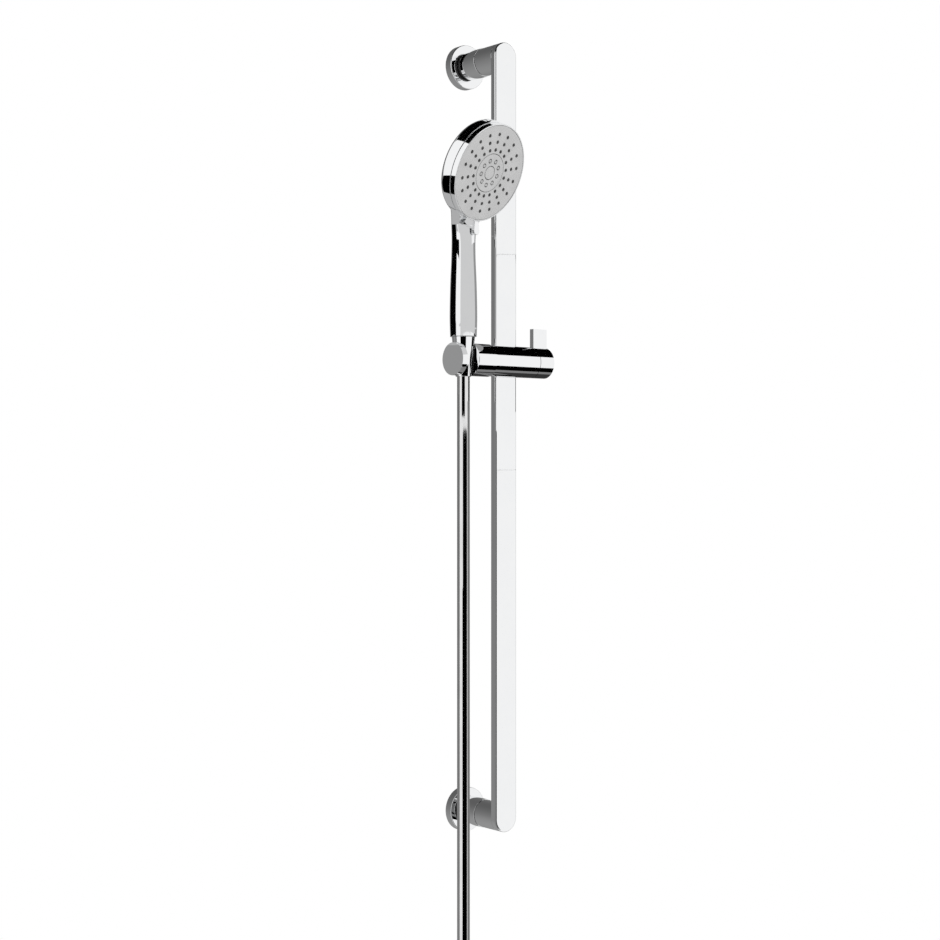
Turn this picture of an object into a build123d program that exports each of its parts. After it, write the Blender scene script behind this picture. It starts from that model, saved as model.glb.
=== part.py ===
from build123d import *
from math import cos, pi, radians, sin, sqrt
import os

# Wall mounted shower slide rail with its slider, tilting cradle, hand shower and hose.
# Millimetres. The wall is the plane Y = 0 and the room is towards -Y. X is to the right, Z is up.
# The origin is in the wall plane, half way between the two wall posts.

# Wall fixing and posts
post_spacing = 855.0
flange_radius = 25.0
flange_depth = 10.6
flange_wall = 1.8
flange_edge_round = 0.9
plate_thickness = 3.0
plate_gap = 0.3
fixing_hole_radius = 2.6
fixing_hole_spacing = 28.0
stub_radius = 9.0
stub_length = 34.0
slip_gap = 0.1
neck_radius = 13.0
neck_length = 4.6
collar_radius = 16.0
collar_length = 25.4
post_seam = 0.4
spigot_radius = 7.0
spigot_length = 8.0
set_screw_radius = 2.5
set_screw_socket = 1.25
set_screw_depth = 4.0
thread_gap = 0.05

# Rail
rail_width = 31.0
rail_thickness = 8.0
rail_face_out = 78.3
rail_edge_round = 2.0
rail_screw_radius = 3.0
rail_screw_bite = 5.4
rail_screw_head_radius = 4.8
rail_screw_head_length = 5.0
rail_screw_socket = 2.5
post_web = 6.0

# Slider
slider_height = 84.5
slider_radius = 17.3
slider_left = -30.5
slider_right = 33.0
slider_edge_round = 0.5
axis_before_rail = 8.0
rail_play = 0.2
liner_wall = 1.4
liner_recess = 0.6
fit_gap = 0.05

# Brake and clamp knob
pad_thickness = 1.6
pad_gap = 0.05
shoe_length = 6.0
shoe_half_height = 6.0
shoe_front_reach = 4.6
pocket_gap = 0.3
brake_travel = 0.8
spindle_tip_radius = 3.0
spindle_tip_bite = 4.0
spindle_collar_radius = 6.0
spindle_collar_length = 1.8
spindle_radius = 4.0
spindle_in_knob = 12.0
knob_washer_thickness = 0.5
knob_washer_radius = 15.5
knob_length = 20.0
knob_edge_round = 1.5
lever_thickness = 6.0
lever_forward = 1.2
lever_reach = 38.2
lever_edge_round = 1.0
knob_screw_radius = 2.0

# Cradle
cradle_radius = 18.0
cradle_left = -80.1
cradle_gap = 0.3
cradle_edge_round = 0.8
seat_x = -65.0
seat_slot_width = 16.6
seat_liner_wall = 1.0
seat_play = 0.15
pivot_radius = 5.0
pivot_in_cradle = 15.0
pivot_in_slider = 11.0
pivot_washer_radius = 10.0
pivot_washer_thickness = 1.6

# Hose nuts and hose
cone_top_radius = 12.7
cone_bottom_radius = 8.6
cone_top = 24.6
cone_bottom = -19.0
inlet_radius = 10.2
inlet_bore = 6.0
inlet_bottom = 9.8
inlet_top = 45.0
water_way = 4.0
seal_thickness = 2.0
seal_play = 0.2
hose_radius = 7.0
hose_length = 1500.0
hank_top = -572.0
hank_run_pitch = 92.0
hank_layer = 15.0
tie_width = 16.0
tie_thickness = 1.5
tie_gap = 0.05
hank_end_round = 3.0
end_nut_across_flats = 24.0
end_nut_length = 16.0
end_collar_radius = 9.5
end_collar_length = 10.0
end_nut_web = 2.0
end_undercut = 0.3

# Hand shower
handset_yaw = 11.4
handset_gap = 0.3
face_forward = 37.3
face_height = 199.8
face_tilt = 23.1
handle_edge_round = 1.6
head_radius = 54.5
head_depth = 24.0
head_back_round = 7.0
head_dome = 2.5
head_wall = 2.4
water_turn_share = 0.885
water_turn_lean = 16.0
water_turn_length = 42.0
ring_step = 0.5
ring_wall = 1.3
ring_depth = 7.0
ring_gap = 0.3
ring_clearance = 30.0
ring_edge_round = 1.2
face_thickness = 2.6
face_recess = 0.4
nozzle_count = 18
nozzle_start_angle = 15.0
nozzle_radius = 1.5
nozzle_stand = 0.9
nozzle_gap = 0.06
nozzle_edge_margin = 9.7
nozzle_insert_margin = 4.4
middle_row_inset = 0.05
mat_thickness = 1.6
mat_margin = 4.0
mat_lap = 2.0
insert_radius = 21.2
insert_groove = 0.7
mist_count = 9
mist_ring_radius = 13.5
mist_cup_radius = 2.9
mist_cup_depth = 0.6
button_radius = 7.9
button_groove = 0.9
diverter_play = 0.5
diverter_thickness = 3.0
tab_bulb_radius = 4.6
tab_stem_half = 2.6
tab_length = 13.5
tab_thickness = 3.0
tab_root_depth = 3.0

# Sizes that follow from the ones above
rail_mid_out = rail_face_out - rail_thickness / 2
rail_back_out = rail_face_out - rail_thickness
axis_out = rail_mid_out + axis_before_rail
flange_front = -flange_depth
neck_front = flange_front - neck_length
collar_front = neck_front - collar_length
post_back = collar_front - post_seam
post_radius = rail_width / 2
cradle_right = slider_left - cradle_gap
cone_slope = (cone_top_radius - cone_bottom_radius) / (cone_top - cone_bottom)
ring_radius = head_radius - ring_step
ring_inner_radius = ring_radius - ring_wall
face_radius = ring_inner_radius - ring_gap
outer_row = face_radius - nozzle_edge_margin
inner_row = insert_radius + nozzle_insert_margin
nozzle_ring_radii = (outer_row, (outer_row + inner_row) / 2 - middle_row_inset, inner_row)


def cone_radius(height):
    return cone_bottom_radius + (height - cone_bottom) * cone_slope


def finish(part, name):
    part.part.label = name
    export_step(part.part, f"parts/{name}.step")


# A plane across the rod or tube that runs out from the wall at height z: its normal is +Y.
def wall_plane(y, z):
    return Plane(origin=(0, y, z), x_dir=(1, 0, 0), z_dir=(0, -1, 0))


# A plane across the slider's own axis at station x: its normal is +X, local x is +Y, local y is +Z.
def axis_plane(x):
    return Plane(origin=(x, -axis_out, slider_height), x_dir=(0, 1, 0), z_dir=(1, 0, 0))


os.makedirs("parts", exist_ok=True)

# Wall posts, upper and lower
for side, z in (("upper", post_spacing / 2), ("lower", -post_spacing / 2)):
    # Wall plate: a disc with two screw holes and the stub that carries the post
    with BuildPart() as wall_plate:
        with BuildSketch(wall_plane(0, z)):
            Circle(flange_radius - flange_wall - plate_gap)
            with GridLocations(fixing_hole_spacing, 1, 2, 1):
                Circle(fixing_hole_radius, mode=Mode.SUBTRACT)
        extrude(amount=plate_thickness)
        with BuildSketch(wall_plane(0, z)):
            Circle(stub_radius)
        extrude(amount=stub_length)
        chamfer(wall_plate.faces().sort_by(Axis.Y)[0].edges(), 0.8)
    finish(wall_plate, f"wall_plate_{side}")

    # Flange cover: a turned cup that hides the plate and the screw heads
    with BuildPart() as flange:
        with BuildSketch(wall_plane(0, z)):
            Circle(flange_radius)
        extrude(amount=flange_depth)
        with BuildSketch(wall_plane(0, z)):
            Circle(flange_radius - flange_wall)
        extrude(amount=flange_depth - flange_wall, mode=Mode.SUBTRACT)
        with BuildSketch(wall_plane(0, z)):
            Circle(stub_radius + slip_gap)
        extrude(amount=flange_depth, mode=Mode.SUBTRACT)
        front_rim = flange.edges().filter_by(GeomType.CIRCLE).group_by(Axis.Y)[0].sort_by(SortBy.RADIUS)[-1]
        fillet(front_rim, flange_edge_round)
    finish(flange, f"flange_cover_{side}")

    # Post sleeve: neck and collar turned from one bar, with the spigot that carries the front post
    grub_y = (neck_front - stub_length) / 2
    with BuildPart() as sleeve:
        with BuildSketch(wall_plane(flange_front, z)):
            Circle(neck_radius)
        extrude(amount=neck_length)
        with BuildSketch(wall_plane(neck_front, z)):
            Circle(collar_radius)
        extrude(amount=collar_length)
        fillet(sleeve.edges().filter_by(GeomType.CIRCLE).filter_by(lambda e: e.radius > neck_radius + 1), 0.4)
        with BuildSketch(wall_plane(collar_front, z)):
            Circle(spigot_radius)
        extrude(amount=spigot_length)
        with BuildSketch(wall_plane(0, z)):
            Circle(stub_radius + slip_gap)
        extrude(amount=stub_length + post_seam, mode=Mode.SUBTRACT)
        with BuildSketch(Plane(origin=(0, grub_y, z), x_dir=(1, 0, 0), z_dir=(0, 0, -1))):
            Circle(set_screw_radius + thread_gap)
        extrude(amount=collar_radius + 1, mode=Mode.SUBTRACT)
    finish(sleeve, f"post_sleeve_{side}")

    # Set screw under the collar, which grips the stub
    screw_plane = Plane(origin=(0, grub_y, z - stub_radius), x_dir=(1, 0, 0), z_dir=(0, 0, -1))
    set_screw_length = collar_radius - stub_radius - 0.8
    with BuildPart() as set_screw:
        with BuildSketch(screw_plane):
            Circle(set_screw_radius)
        extrude(amount=set_screw_length)
        with BuildSketch(screw_plane.offset(set_screw_length)):
            RegularPolygon(set_screw_socket, 6, major_radius=False)
        extrude(amount=-set_screw_depth, mode=Mode.SUBTRACT)
    finish(set_screw, f"set_screw_{side}")

    # Front post, as wide as the rail, bored for the spigot and for the screw that holds the rail
    post_length = rail_back_out + post_back
    head_seat = rail_back_out - post_web
    with BuildPart() as post:
        with BuildSketch(wall_plane(post_back, z)):
            Circle(post_radius)
        extrude(amount=post_length)
        fillet(post.edges().filter_by(GeomType.CIRCLE).sort_by(Axis.Y)[-1], 0.4)
        with BuildSketch(wall_plane(post_back, z)):
            Circle(spigot_radius + thread_gap)
        extrude(amount=spigot_length + 0.5, mode=Mode.SUBTRACT)
        with BuildSketch(wall_plane(post_back, z)):
            Circle(rail_screw_head_radius + 0.4)
        extrude(amount=head_seat + post_back, mode=Mode.SUBTRACT)
        with BuildSketch(wall_plane(post_back, z)):
            Circle(rail_screw_radius + thread_gap)
        extrude(amount=post_length, mode=Mode.SUBTRACT)
    finish(post, f"post_front_{side}")

    # Cap screw from inside the post into the back of the rail
    with BuildPart() as rail_screw:
        with BuildSketch(wall_plane(-head_seat + rail_screw_head_length, z)):
            Circle(rail_screw_head_radius)
        extrude(amount=rail_screw_head_length)
        with BuildSketch(wall_plane(-head_seat, z)):
            Circle(rail_screw_radius)
        extrude(amount=post_web + rail_screw_bite)
        with BuildSketch(wall_plane(-head_seat + rail_screw_head_length, z)):
            RegularPolygon(rail_screw_socket, 6, major_radius=False)
        extrude(amount=rail_screw_head_length / 2, mode=Mode.SUBTRACT)
    finish(rail_screw, f"rail_screw_{side}")

# Rail: a flat bar with round ends that follow the posts
with BuildPart() as rail:
    with BuildSketch(wall_plane(-rail_back_out, 0)):
        SlotOverall(post_spacing + rail_width, rail_width, rotation=90)
    extrude(amount=rail_thickness)
    fillet(rail.faces().sort_by(Axis.Y)[0].edges(), rail_edge_round)
    with BuildSketch(wall_plane(-rail_back_out, 0)):
        with GridLocations(1, post_spacing, 1, 2):
            Circle(rail_screw_radius + thread_gap)
    extrude(amount=rail_screw_bite + 0.2, mode=Mode.SUBTRACT)
finish(rail, "rail")

# Slider body: a round bar across the rail, with a slot for the rail and its liner
liner_half_width = rail_width / 2 + rail_play + liner_wall
liner_back = rail_back_out - rail_play - liner_wall
liner_front = rail_face_out + rail_play + liner_wall
liner_depth = liner_front - liner_back
liner_middle = (liner_front + liner_back) / 2
shoe_left = rail_width / 2 + pad_gap + pad_thickness
shoe_right = shoe_left + shoe_length
pocket_right = shoe_right + brake_travel + pocket_gap
shoe_front = axis_out + shoe_front_reach
shoe_back = rail_back_out + 0.4
shoe_middle = (shoe_front + shoe_back) / 2
collar_left = pocket_right + pocket_gap
collar_right = collar_left + spindle_collar_length
with BuildPart() as slider_body:
    with BuildSketch(axis_plane(slider_left)):
        Circle(slider_radius)
    extrude(amount=slider_right - slider_left)
    fillet(slider_body.edges().filter_by(GeomType.CIRCLE), slider_edge_round)
    with BuildSketch(Plane.XY.offset(slider_height - slider_radius)):
        with Locations((0, -liner_middle)):
            Rectangle(2 * (liner_half_width + fit_gap), liner_depth + 2 * fit_gap)
    extrude(amount=2 * slider_radius, mode=Mode.SUBTRACT)
    with BuildSketch(axis_plane(0)):
        with Locations((axis_out - shoe_middle, 0)):
            Rectangle(shoe_front - shoe_back + 2 * pocket_gap, 2 * (shoe_half_height + pocket_gap))
    extrude(amount=pocket_right, mode=Mode.SUBTRACT)
    with BuildSketch(axis_plane(0)):
        Circle(spindle_collar_radius + pocket_gap)
    extrude(amount=collar_right + pocket_gap, mode=Mode.SUBTRACT)
    with BuildSketch(axis_plane(0)):
        Circle(spindle_radius + fit_gap)
    extrude(amount=slider_right, mode=Mode.SUBTRACT)
    with BuildSketch(axis_plane(slider_left)):
        Circle(pivot_radius + fit_gap)
    extrude(amount=pivot_in_slider, mode=Mode.SUBTRACT)
finish(slider_body, "slider_body")

# Rail liner: the plastic sleeve that slides on the rail, with a window for the brake shoe
with BuildPart() as rail_liner:
    with BuildSketch(axis_plane(-liner_half_width)):
        Circle(slider_radius - liner_recess)
    extrude(amount=2 * liner_half_width)
    with BuildSketch(Plane.XY.offset(slider_height - slider_radius)):
        with Locations((0, -liner_middle)):
            Rectangle(2 * liner_half_width, liner_depth)
    extrude(amount=2 * slider_radius, mode=Mode.INTERSECT)
    with BuildSketch(Plane.XY.offset(slider_height - slider_radius)):
        with Locations((0, -rail_mid_out)):
            Rectangle(rail_width + 2 * rail_play, rail_thickness + 2 * rail_play)
    extrude(amount=2 * slider_radius, mode=Mode.SUBTRACT)
    with BuildSketch(axis_plane(0)):
        with Locations((axis_out - shoe_middle, 0)):
            Rectangle(shoe_front - shoe_back + 2 * pocket_gap, 2 * (shoe_half_height + pocket_gap))
    extrude(amount=liner_half_width + 1, mode=Mode.SUBTRACT)
finish(rail_liner, "rail_liner")

# Brake shoe: a block that can't turn, drawn along by the thread of the spindle
with BuildPart() as brake_shoe:
    with BuildSketch(axis_plane(shoe_left)):
        with Locations((axis_out - shoe_middle, 0)):
            Rectangle(shoe_front - shoe_back, 2 * shoe_half_height)
    extrude(amount=shoe_length)
    chamfer(brake_shoe.edges().filter_by(Axis.X), 0.5)
    with BuildSketch(axis_plane(shoe_right)):
        Circle(spindle_tip_radius + thread_gap)
    extrude(amount=-(spindle_tip_bite + brake_travel + 0.4), mode=Mode.SUBTRACT)
finish(brake_shoe, "brake_shoe")

with BuildPart() as brake_pad:
    with BuildSketch(axis_plane(shoe_left)):
        with Locations((axis_out - (rail_face_out + shoe_back) / 2, 0)):
            RectangleRounded(rail_face_out - shoe_back, 2 * shoe_half_height - 1, 1)
    extrude(amount=-pad_thickness)
finish(brake_pad, "brake_pad")

# Clamp knob: spindle, washer, and the knob cast with its lever
knob_left = slider_right + knob_washer_thickness
knob_right = knob_left + knob_length
with BuildPart() as knob_spindle:
    with BuildSketch(axis_plane(shoe_right - spindle_tip_bite)):
        Circle(spindle_tip_radius)
    extrude(amount=collar_left - shoe_right + spindle_tip_bite)
    with BuildSketch(axis_plane(collar_left)):
        Circle(spindle_collar_radius)
    extrude(amount=spindle_collar_length)
    with BuildSketch(axis_plane(collar_right)):
        Circle(spindle_radius)
    extrude(amount=knob_left + spindle_in_knob - collar_right)
    chamfer(knob_spindle.edges().filter_by(GeomType.CIRCLE).sort_by(Axis.X)[0], 0.5)
finish(knob_spindle, "knob_spindle")

with BuildPart() as knob_washer:
    with BuildSketch(axis_plane(slider_right)):
        Circle(knob_washer_radius)
        Circle(spindle_radius + fit_gap, mode=Mode.SUBTRACT)
    extrude(amount=knob_washer_thickness)
finish(knob_washer, "knob_washer")

with BuildPart() as knob:
    with BuildSketch(axis_plane(knob_left)):
        Circle(slider_radius)
    extrude(amount=knob_length)
    fillet(knob.edges().filter_by(GeomType.CIRCLE).sort_by(Axis.X)[-1], knob_edge_round)
    fillet(knob.edges().filter_by(GeomType.CIRCLE).sort_by(Axis.X)[0], slider_edge_round)
    with BuildSketch(axis_plane(knob_left)):
        with Locations((-lever_forward, 0)):
            Rectangle(lever_thickness, lever_reach, align=(Align.CENTER, Align.MIN))
    extrude(amount=knob_length)
    lever_top = knob.faces().sort_by(Axis.Z)[-1]
    fillet(lever_top.edges(), lever_edge_round)
    with BuildSketch(axis_plane(knob_left)):
        Circle(spindle_radius + fit_gap)
    extrude(amount=spindle_in_knob + 0.3, mode=Mode.SUBTRACT)
    with BuildSketch(
        Plane(
            origin=(knob_left + spindle_in_knob / 2, -axis_out, slider_height),
            x_dir=(1, 0, 0),
            z_dir=(0, 0, -1),
        )
    ):
        Circle(knob_screw_radius + thread_gap)
    extrude(amount=slider_radius + 1, mode=Mode.SUBTRACT)
finish(knob, "clamp_knob")

knob_screw_plane = Plane(
    origin=(knob_left + spindle_in_knob / 2, -axis_out, slider_height - spindle_radius - fit_gap),
    x_dir=(1, 0, 0),
    z_dir=(0, 0, -1),
)
knob_screw_length = slider_radius - spindle_radius - 1.2
with BuildPart() as knob_screw:
    with BuildSketch(knob_screw_plane):
        Circle(knob_screw_radius)
    extrude(amount=knob_screw_length)
    with BuildSketch(knob_screw_plane.offset(knob_screw_length)):
        RegularPolygon(knob_screw_radius / 2, 6, major_radius=False)
    extrude(amount=-2.5, mode=Mode.SUBTRACT)
finish(knob_screw, "knob_screw")

# Cradle: a round bar that tilts on a pin, with a tapered seat that is open at the front
seat_plane = Plane(origin=(seat_x, -axis_out, slider_height), x_dir=(1, 0, 0), z_dir=(0, 0, 1))
seat_top_radius = cone_radius(cradle_radius) + seat_play + seat_liner_wall
seat_bottom_radius = cone_radius(-cradle_radius) + seat_play + seat_liner_wall
with BuildPart() as cradle:
    with BuildSketch(axis_plane(cradle_left)):
        Circle(cradle_radius)
    extrude(amount=cradle_right - cradle_left)
    fillet(cradle.edges().filter_by(GeomType.CIRCLE), cradle_edge_round)
    with BuildSketch(seat_plane.offset(-cradle_radius)):
        Circle(seat_bottom_radius + fit_gap)
    with BuildSketch(seat_plane.offset(cradle_radius)):
        Circle(seat_top_radius + fit_gap)
    loft(mode=Mode.SUBTRACT)
    with BuildSketch(seat_plane.offset(-cradle_radius)):
        Rectangle(seat_slot_width, 2 * cradle_radius, align=(Align.CENTER, Align.MAX))
    extrude(amount=2 * cradle_radius, mode=Mode.SUBTRACT)
    with BuildSketch(axis_plane(cradle_right)):
        Circle(pivot_radius + fit_gap)
    extrude(amount=-(pivot_in_cradle + 0.3), mode=Mode.SUBTRACT)
    with BuildSketch(axis_plane(cradle_right)):
        Circle(pivot_washer_radius + pocket_gap)
    extrude(amount=-(pivot_washer_thickness - cradle_gap), mode=Mode.SUBTRACT)
finish(cradle, "cradle")

# Seat liner: the plastic lining of the seat, with the same open front
liner_half_height = sqrt(cradle_radius**2 - seat_top_radius**2) - 0.4
with BuildPart() as seat_liner:
    with BuildSketch(seat_plane.offset(-liner_half_height)):
        Circle(cone_radius(-liner_half_height) + seat_play + seat_liner_wall)
    with BuildSketch(seat_plane.offset(liner_half_height)):
        Circle(cone_radius(liner_half_height) + seat_play + seat_liner_wall)
    loft()
    with BuildSketch(seat_plane.offset(-liner_half_height)):
        Circle(cone_radius(-liner_half_height) + seat_play)
    with BuildSketch(seat_plane.offset(liner_half_height)):
        Circle(cone_radius(liner_half_height) + seat_play)
    loft(mode=Mode.SUBTRACT)
    with BuildSketch(seat_plane.offset(-cradle_radius)):
        Rectangle(seat_slot_width, 2 * cradle_radius, align=(Align.CENTER, Align.MAX))
    extrude(amount=2 * cradle_radius, mode=Mode.SUBTRACT)
finish(seat_liner, "seat_liner")

with BuildPart() as pivot_pin:
    with BuildSketch(axis_plane(cradle_right - pivot_in_cradle)):
        Circle(pivot_radius)
    extrude(amount=pivot_in_cradle + cradle_gap + pivot_in_slider - 0.3)
    chamfer(pivot_pin.edges().filter_by(GeomType.CIRCLE), 0.5)
finish(pivot_pin, "pivot_pin")

with BuildPart() as pivot_washer:
    with BuildSketch(axis_plane(slider_left)):
        Circle(pivot_washer_radius)
        Circle(pivot_radius + fit_gap, mode=Mode.SUBTRACT)
    extrude(amount=-pivot_washer_thickness)
finish(pivot_washer, "pivot_washer")

# Hose nut: the long cone that sits in the cradle and screws on the hand shower
with BuildPart() as hose_nut:
    with BuildSketch(seat_plane.offset(cone_bottom)):
        Circle(cone_bottom_radius)
    with BuildSketch(seat_plane.offset(cone_top)):
        Circle(cone_top_radius)
    loft()
    fillet(hose_nut.edges().filter_by(GeomType.CIRCLE), 0.5)
    with BuildSketch(seat_plane.offset(cone_bottom)):
        Circle(water_way)
    extrude(amount=cone_top - cone_bottom, mode=Mode.SUBTRACT)
    with BuildSketch(seat_plane.offset(inlet_bottom - seal_thickness)):
        Circle(inlet_radius + thread_gap)
    extrude(amount=cone_top - inlet_bottom + seal_thickness, mode=Mode.SUBTRACT)
finish(hose_nut, "hose_nut_upper")

with BuildPart() as inlet_seal:
    with BuildSketch(seat_plane.offset(inlet_bottom - seal_thickness)):
        Circle(inlet_radius - seal_play)
        Circle(water_way, mode=Mode.SUBTRACT)
    extrude(amount=seal_thickness)
finish(inlet_seal, "inlet_seal")

# Hand shower, in its own frame: local x to its right, local y to its back, local z up the handle
yaw = radians(handset_yaw)
handset_x = Vector(cos(yaw), sin(yaw), 0)
handset_y = Vector(-sin(yaw), cos(yaw), 0)
handset_origin = Vector(seat_x, -axis_out, slider_height)


def handset_point(x, y, z):
    return handset_origin + handset_x * x + handset_y * y + Vector(0, 0, z)


def handset_direction(y, z):
    return handset_y * y + Vector(0, 0, z)


tilt = radians(face_tilt)
face_normal = handset_direction(-cos(tilt), -sin(tilt))
face_up = handset_direction(-sin(tilt), cos(tilt))


# A plane parallel to the spray face, depth behind it, that looks out of the face.
def face_plane(depth):
    origin = handset_point(0, -face_forward, face_height) - face_normal * depth
    return Plane(origin=origin, x_dir=handset_x, z_dir=face_normal)


with BuildPart() as handset_inlet:
    with BuildSketch(seat_plane.offset(inlet_bottom)):
        Circle(inlet_radius)
        Circle(inlet_bore, mode=Mode.SUBTRACT)
    extrude(amount=inlet_top - inlet_bottom)
finish(handset_inlet, "handset_inlet")

# The lowest point of the ring's front edge, which the neck of the handle leans out to meet
ring_low = face_height - ring_radius * cos(tilt)
ring_low_forward = face_forward - ring_radius * sin(tilt)

# Handle stations: share of the way up to the ring, share of the way out to it, half width, half depth, lean
handle_bottom = cone_top + handset_gap
handle_stations = (
    (0.0, 0.0, 13.6, 15.2, 0.0),
    (0.157, 0.0, 14.0, 15.8, 0.0),
    (0.329, 0.0, 13.8, 15.5, 0.0),
    (0.501, 0.0, 13.2, 14.9, 0.0),
    (0.673, 0.0, 12.4, 13.9, 0.0),
    (0.845, 0.012, 12.5, 13.4, 2.0),
    (0.955, 0.062, 15.5, 12.9, 7.0),
    (1.041, 0.217, 21.0, 12.1, 14.0),
    (1.119, 0.497, 30.0, 10.8, 20.0),
    (1.197, 0.807, 38.0, 9.3, 23.0),
)


def handle_plane(height, setback, lean):
    slope = radians(lean)
    return Plane(
        origin=handset_point(0, setback, height),
        x_dir=handset_x,
        z_dir=handset_direction(-sin(slope), cos(slope)),
    )


# A plane through the axis of the spray face: local x is the radius, local y the depth behind the face.
face_centre = handset_point(0, -face_forward, face_height)
profile_plane = Plane(origin=face_centre, x_dir=handset_x, z_dir=handset_x.cross(-face_normal))
face_axis = Axis(face_centre, face_normal)
shell_back = ring_depth + ring_gap
dome_edge = head_radius - head_back_round
dome_radius = (dome_edge**2 + head_dome**2) / (2 * head_dome)
with BuildPart() as handset_shell:
    for rise, reach, half_width, half_depth, lean in handle_stations:
        station_height = handle_bottom + rise * (ring_low - handle_bottom)
        with BuildSketch(handle_plane(station_height, -reach * ring_low_forward, lean)):
            Ellipse(half_width, half_depth)
    loft()
    fillet(handset_shell.edges().sort_by(Axis.Z)[0], handle_edge_round)
    with BuildSketch(profile_plane):
        with BuildLine():
            Polyline(
                (0, head_depth + head_dome),
                (0, shell_back),
                (head_radius, shell_back),
                (head_radius, head_depth - head_back_round),
            )
            TangentArc(
                (head_radius, head_depth - head_back_round),
                (dome_edge, head_depth),
                tangent=(0, 1),
            )
            ThreePointArc(
                (dome_edge, head_depth),
                (dome_edge / 2, head_depth + head_dome - dome_radius + sqrt(dome_radius**2 - dome_edge**2 / 4)),
                (0, head_depth + head_dome),
            )
        make_face()
    revolve(axis=face_axis)
    with BuildSketch(face_plane(shell_back)):
        Circle(ring_radius + ring_gap)
    extrude(amount=shell_back + ring_clearance, mode=Mode.SUBTRACT)
    with BuildSketch(face_plane(head_depth - head_wall)):
        Circle(head_radius - head_back_round)
    extrude(amount=head_depth - head_wall - shell_back, mode=Mode.SUBTRACT)
    with BuildSketch(seat_plane.offset(handle_bottom)):
        Circle(inlet_radius + thread_gap)
    extrude(amount=inlet_top + 0.3 - handle_bottom, mode=Mode.SUBTRACT)
    with BuildSketch(seat_plane.offset(inlet_top)):
        Circle(inlet_bore)
    water_turn_height = handle_bottom + water_turn_share * (ring_low - handle_bottom)
    extrude(amount=water_turn_height - inlet_top, mode=Mode.SUBTRACT)
    water_turn_plane = Plane(
        origin=handset_point(0, 0, water_turn_height - inlet_bore),
        x_dir=handset_x,
        z_dir=handset_direction(-sin(radians(water_turn_lean)), cos(radians(water_turn_lean))),
    )
    with BuildSketch(water_turn_plane):
        Circle(inlet_bore - 0.5)
    extrude(amount=water_turn_length, mode=Mode.SUBTRACT)
finish(handset_shell, "handset_shell")

# Selector ring: the chrome front ring, which turns with its tab to change the spray
tab_plane = Plane(
    origin=handset_point(0, -face_forward, face_height)
    - face_up * (ring_radius - tab_root_depth)
    + handset_y * (tab_thickness / 2),
    x_dir=handset_x,
    z_dir=-handset_y,
)
with BuildPart() as selector_ring:
    with BuildSketch(face_plane(ring_depth)):
        Circle(ring_radius)
    extrude(amount=ring_depth)
    fillet(
        selector_ring.edges().filter_by(GeomType.CIRCLE).sort_by(Axis(handset_origin, face_normal))[-1],
        ring_edge_round,
    )
    with BuildSketch(tab_plane):
        with Locations((0, -tab_length)):
            Circle(tab_bulb_radius)
        with BuildLine():
            Polyline(
                (-tab_stem_half, 0),
                (tab_stem_half, 0),
                (tab_bulb_radius, -tab_length),
                (-tab_bulb_radius, -tab_length),
                close=True,
            )
        make_face()
    extrude(amount=tab_thickness)
    with BuildSketch(face_plane(ring_depth)):
        Circle(ring_inner_radius)
    extrude(amount=ring_depth + 2, mode=Mode.SUBTRACT)
finish(selector_ring, "selector_ring")

# Spray face: a flat plate with three rings of nozzle holes and a round opening for the insert
with BuildPart() as spray_face:
    with BuildSketch(face_plane(face_recess + face_thickness)):
        Circle(face_radius)
        Circle(insert_radius + insert_groove / 2, mode=Mode.SUBTRACT)
        for ring in nozzle_ring_radii:
            with PolarLocations(ring, nozzle_count, nozzle_start_angle):
                Circle(nozzle_radius + nozzle_gap, mode=Mode.SUBTRACT)
    extrude(amount=face_thickness)
finish(spray_face, "spray_face")

# Nozzle mat: one rubber moulding behind the face, with a nozzle through each hole
mat_front = face_recess + face_thickness
with BuildPart() as nozzle_mat:
    with BuildSketch(face_plane(mat_front + mat_thickness)):
        Circle(outer_row + mat_margin)
        Circle(insert_radius - mat_lap, mode=Mode.SUBTRACT)
    extrude(amount=mat_thickness)
    with BuildSketch(face_plane(mat_front)):
        for ring in nozzle_ring_radii:
            with PolarLocations(ring, nozzle_count, nozzle_start_angle):
                Circle(nozzle_radius)
    extrude(amount=face_thickness + nozzle_stand)
finish(nozzle_mat, "nozzle_mat")

# Mist insert: the round centre of the face, with a ring of mist cups round a plain button
with BuildPart() as mist_insert:
    with BuildSketch(face_plane(mat_front)):
        Circle(insert_radius - insert_groove / 2)
    extrude(amount=face_thickness)
    with BuildSketch(face_plane(face_recess)):
        with PolarLocations(mist_ring_radius, mist_count):
            Circle(mist_cup_radius)
        Circle(button_radius)
        Circle(button_radius - button_groove, mode=Mode.SUBTRACT)
    extrude(amount=-mist_cup_depth, mode=Mode.SUBTRACT)
finish(mist_insert, "mist_insert")

# Diverter plate: the disc behind the mat that sends the water to one ring of nozzles or another
with BuildPart() as diverter:
    with BuildSketch(face_plane(mat_front + mat_thickness + diverter_thickness)):
        Circle(dome_edge - diverter_play)
        with PolarLocations((nozzle_ring_radii[1] + insert_radius) / 2, 6):
            Circle(3, mode=Mode.SUBTRACT)
    extrude(amount=diverter_thickness)
finish(diverter, "diverter_plate")

# Hose: one straight drop from the nut, then a hank of three runs for the rest of its length
hose_top = (seat_x, -axis_out, slider_height + cone_bottom)
hose_drop_end = (seat_x, -axis_out, hank_top)
with BuildPart() as hose:
    with BuildLine():
        Line(hose_top, hose_drop_end)
    with BuildSketch(Plane(origin=hose_top, z_dir=(0, 0, -1))):
        Circle(hose_radius)
    sweep()
finish(hose, "hose")
drop = hose_top[2] - hose_drop_end[2]
print("hose drop", round(drop, 1), "volume share", round(hose.part.volume / (pi * hose_radius**2 * drop), 4))

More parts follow.
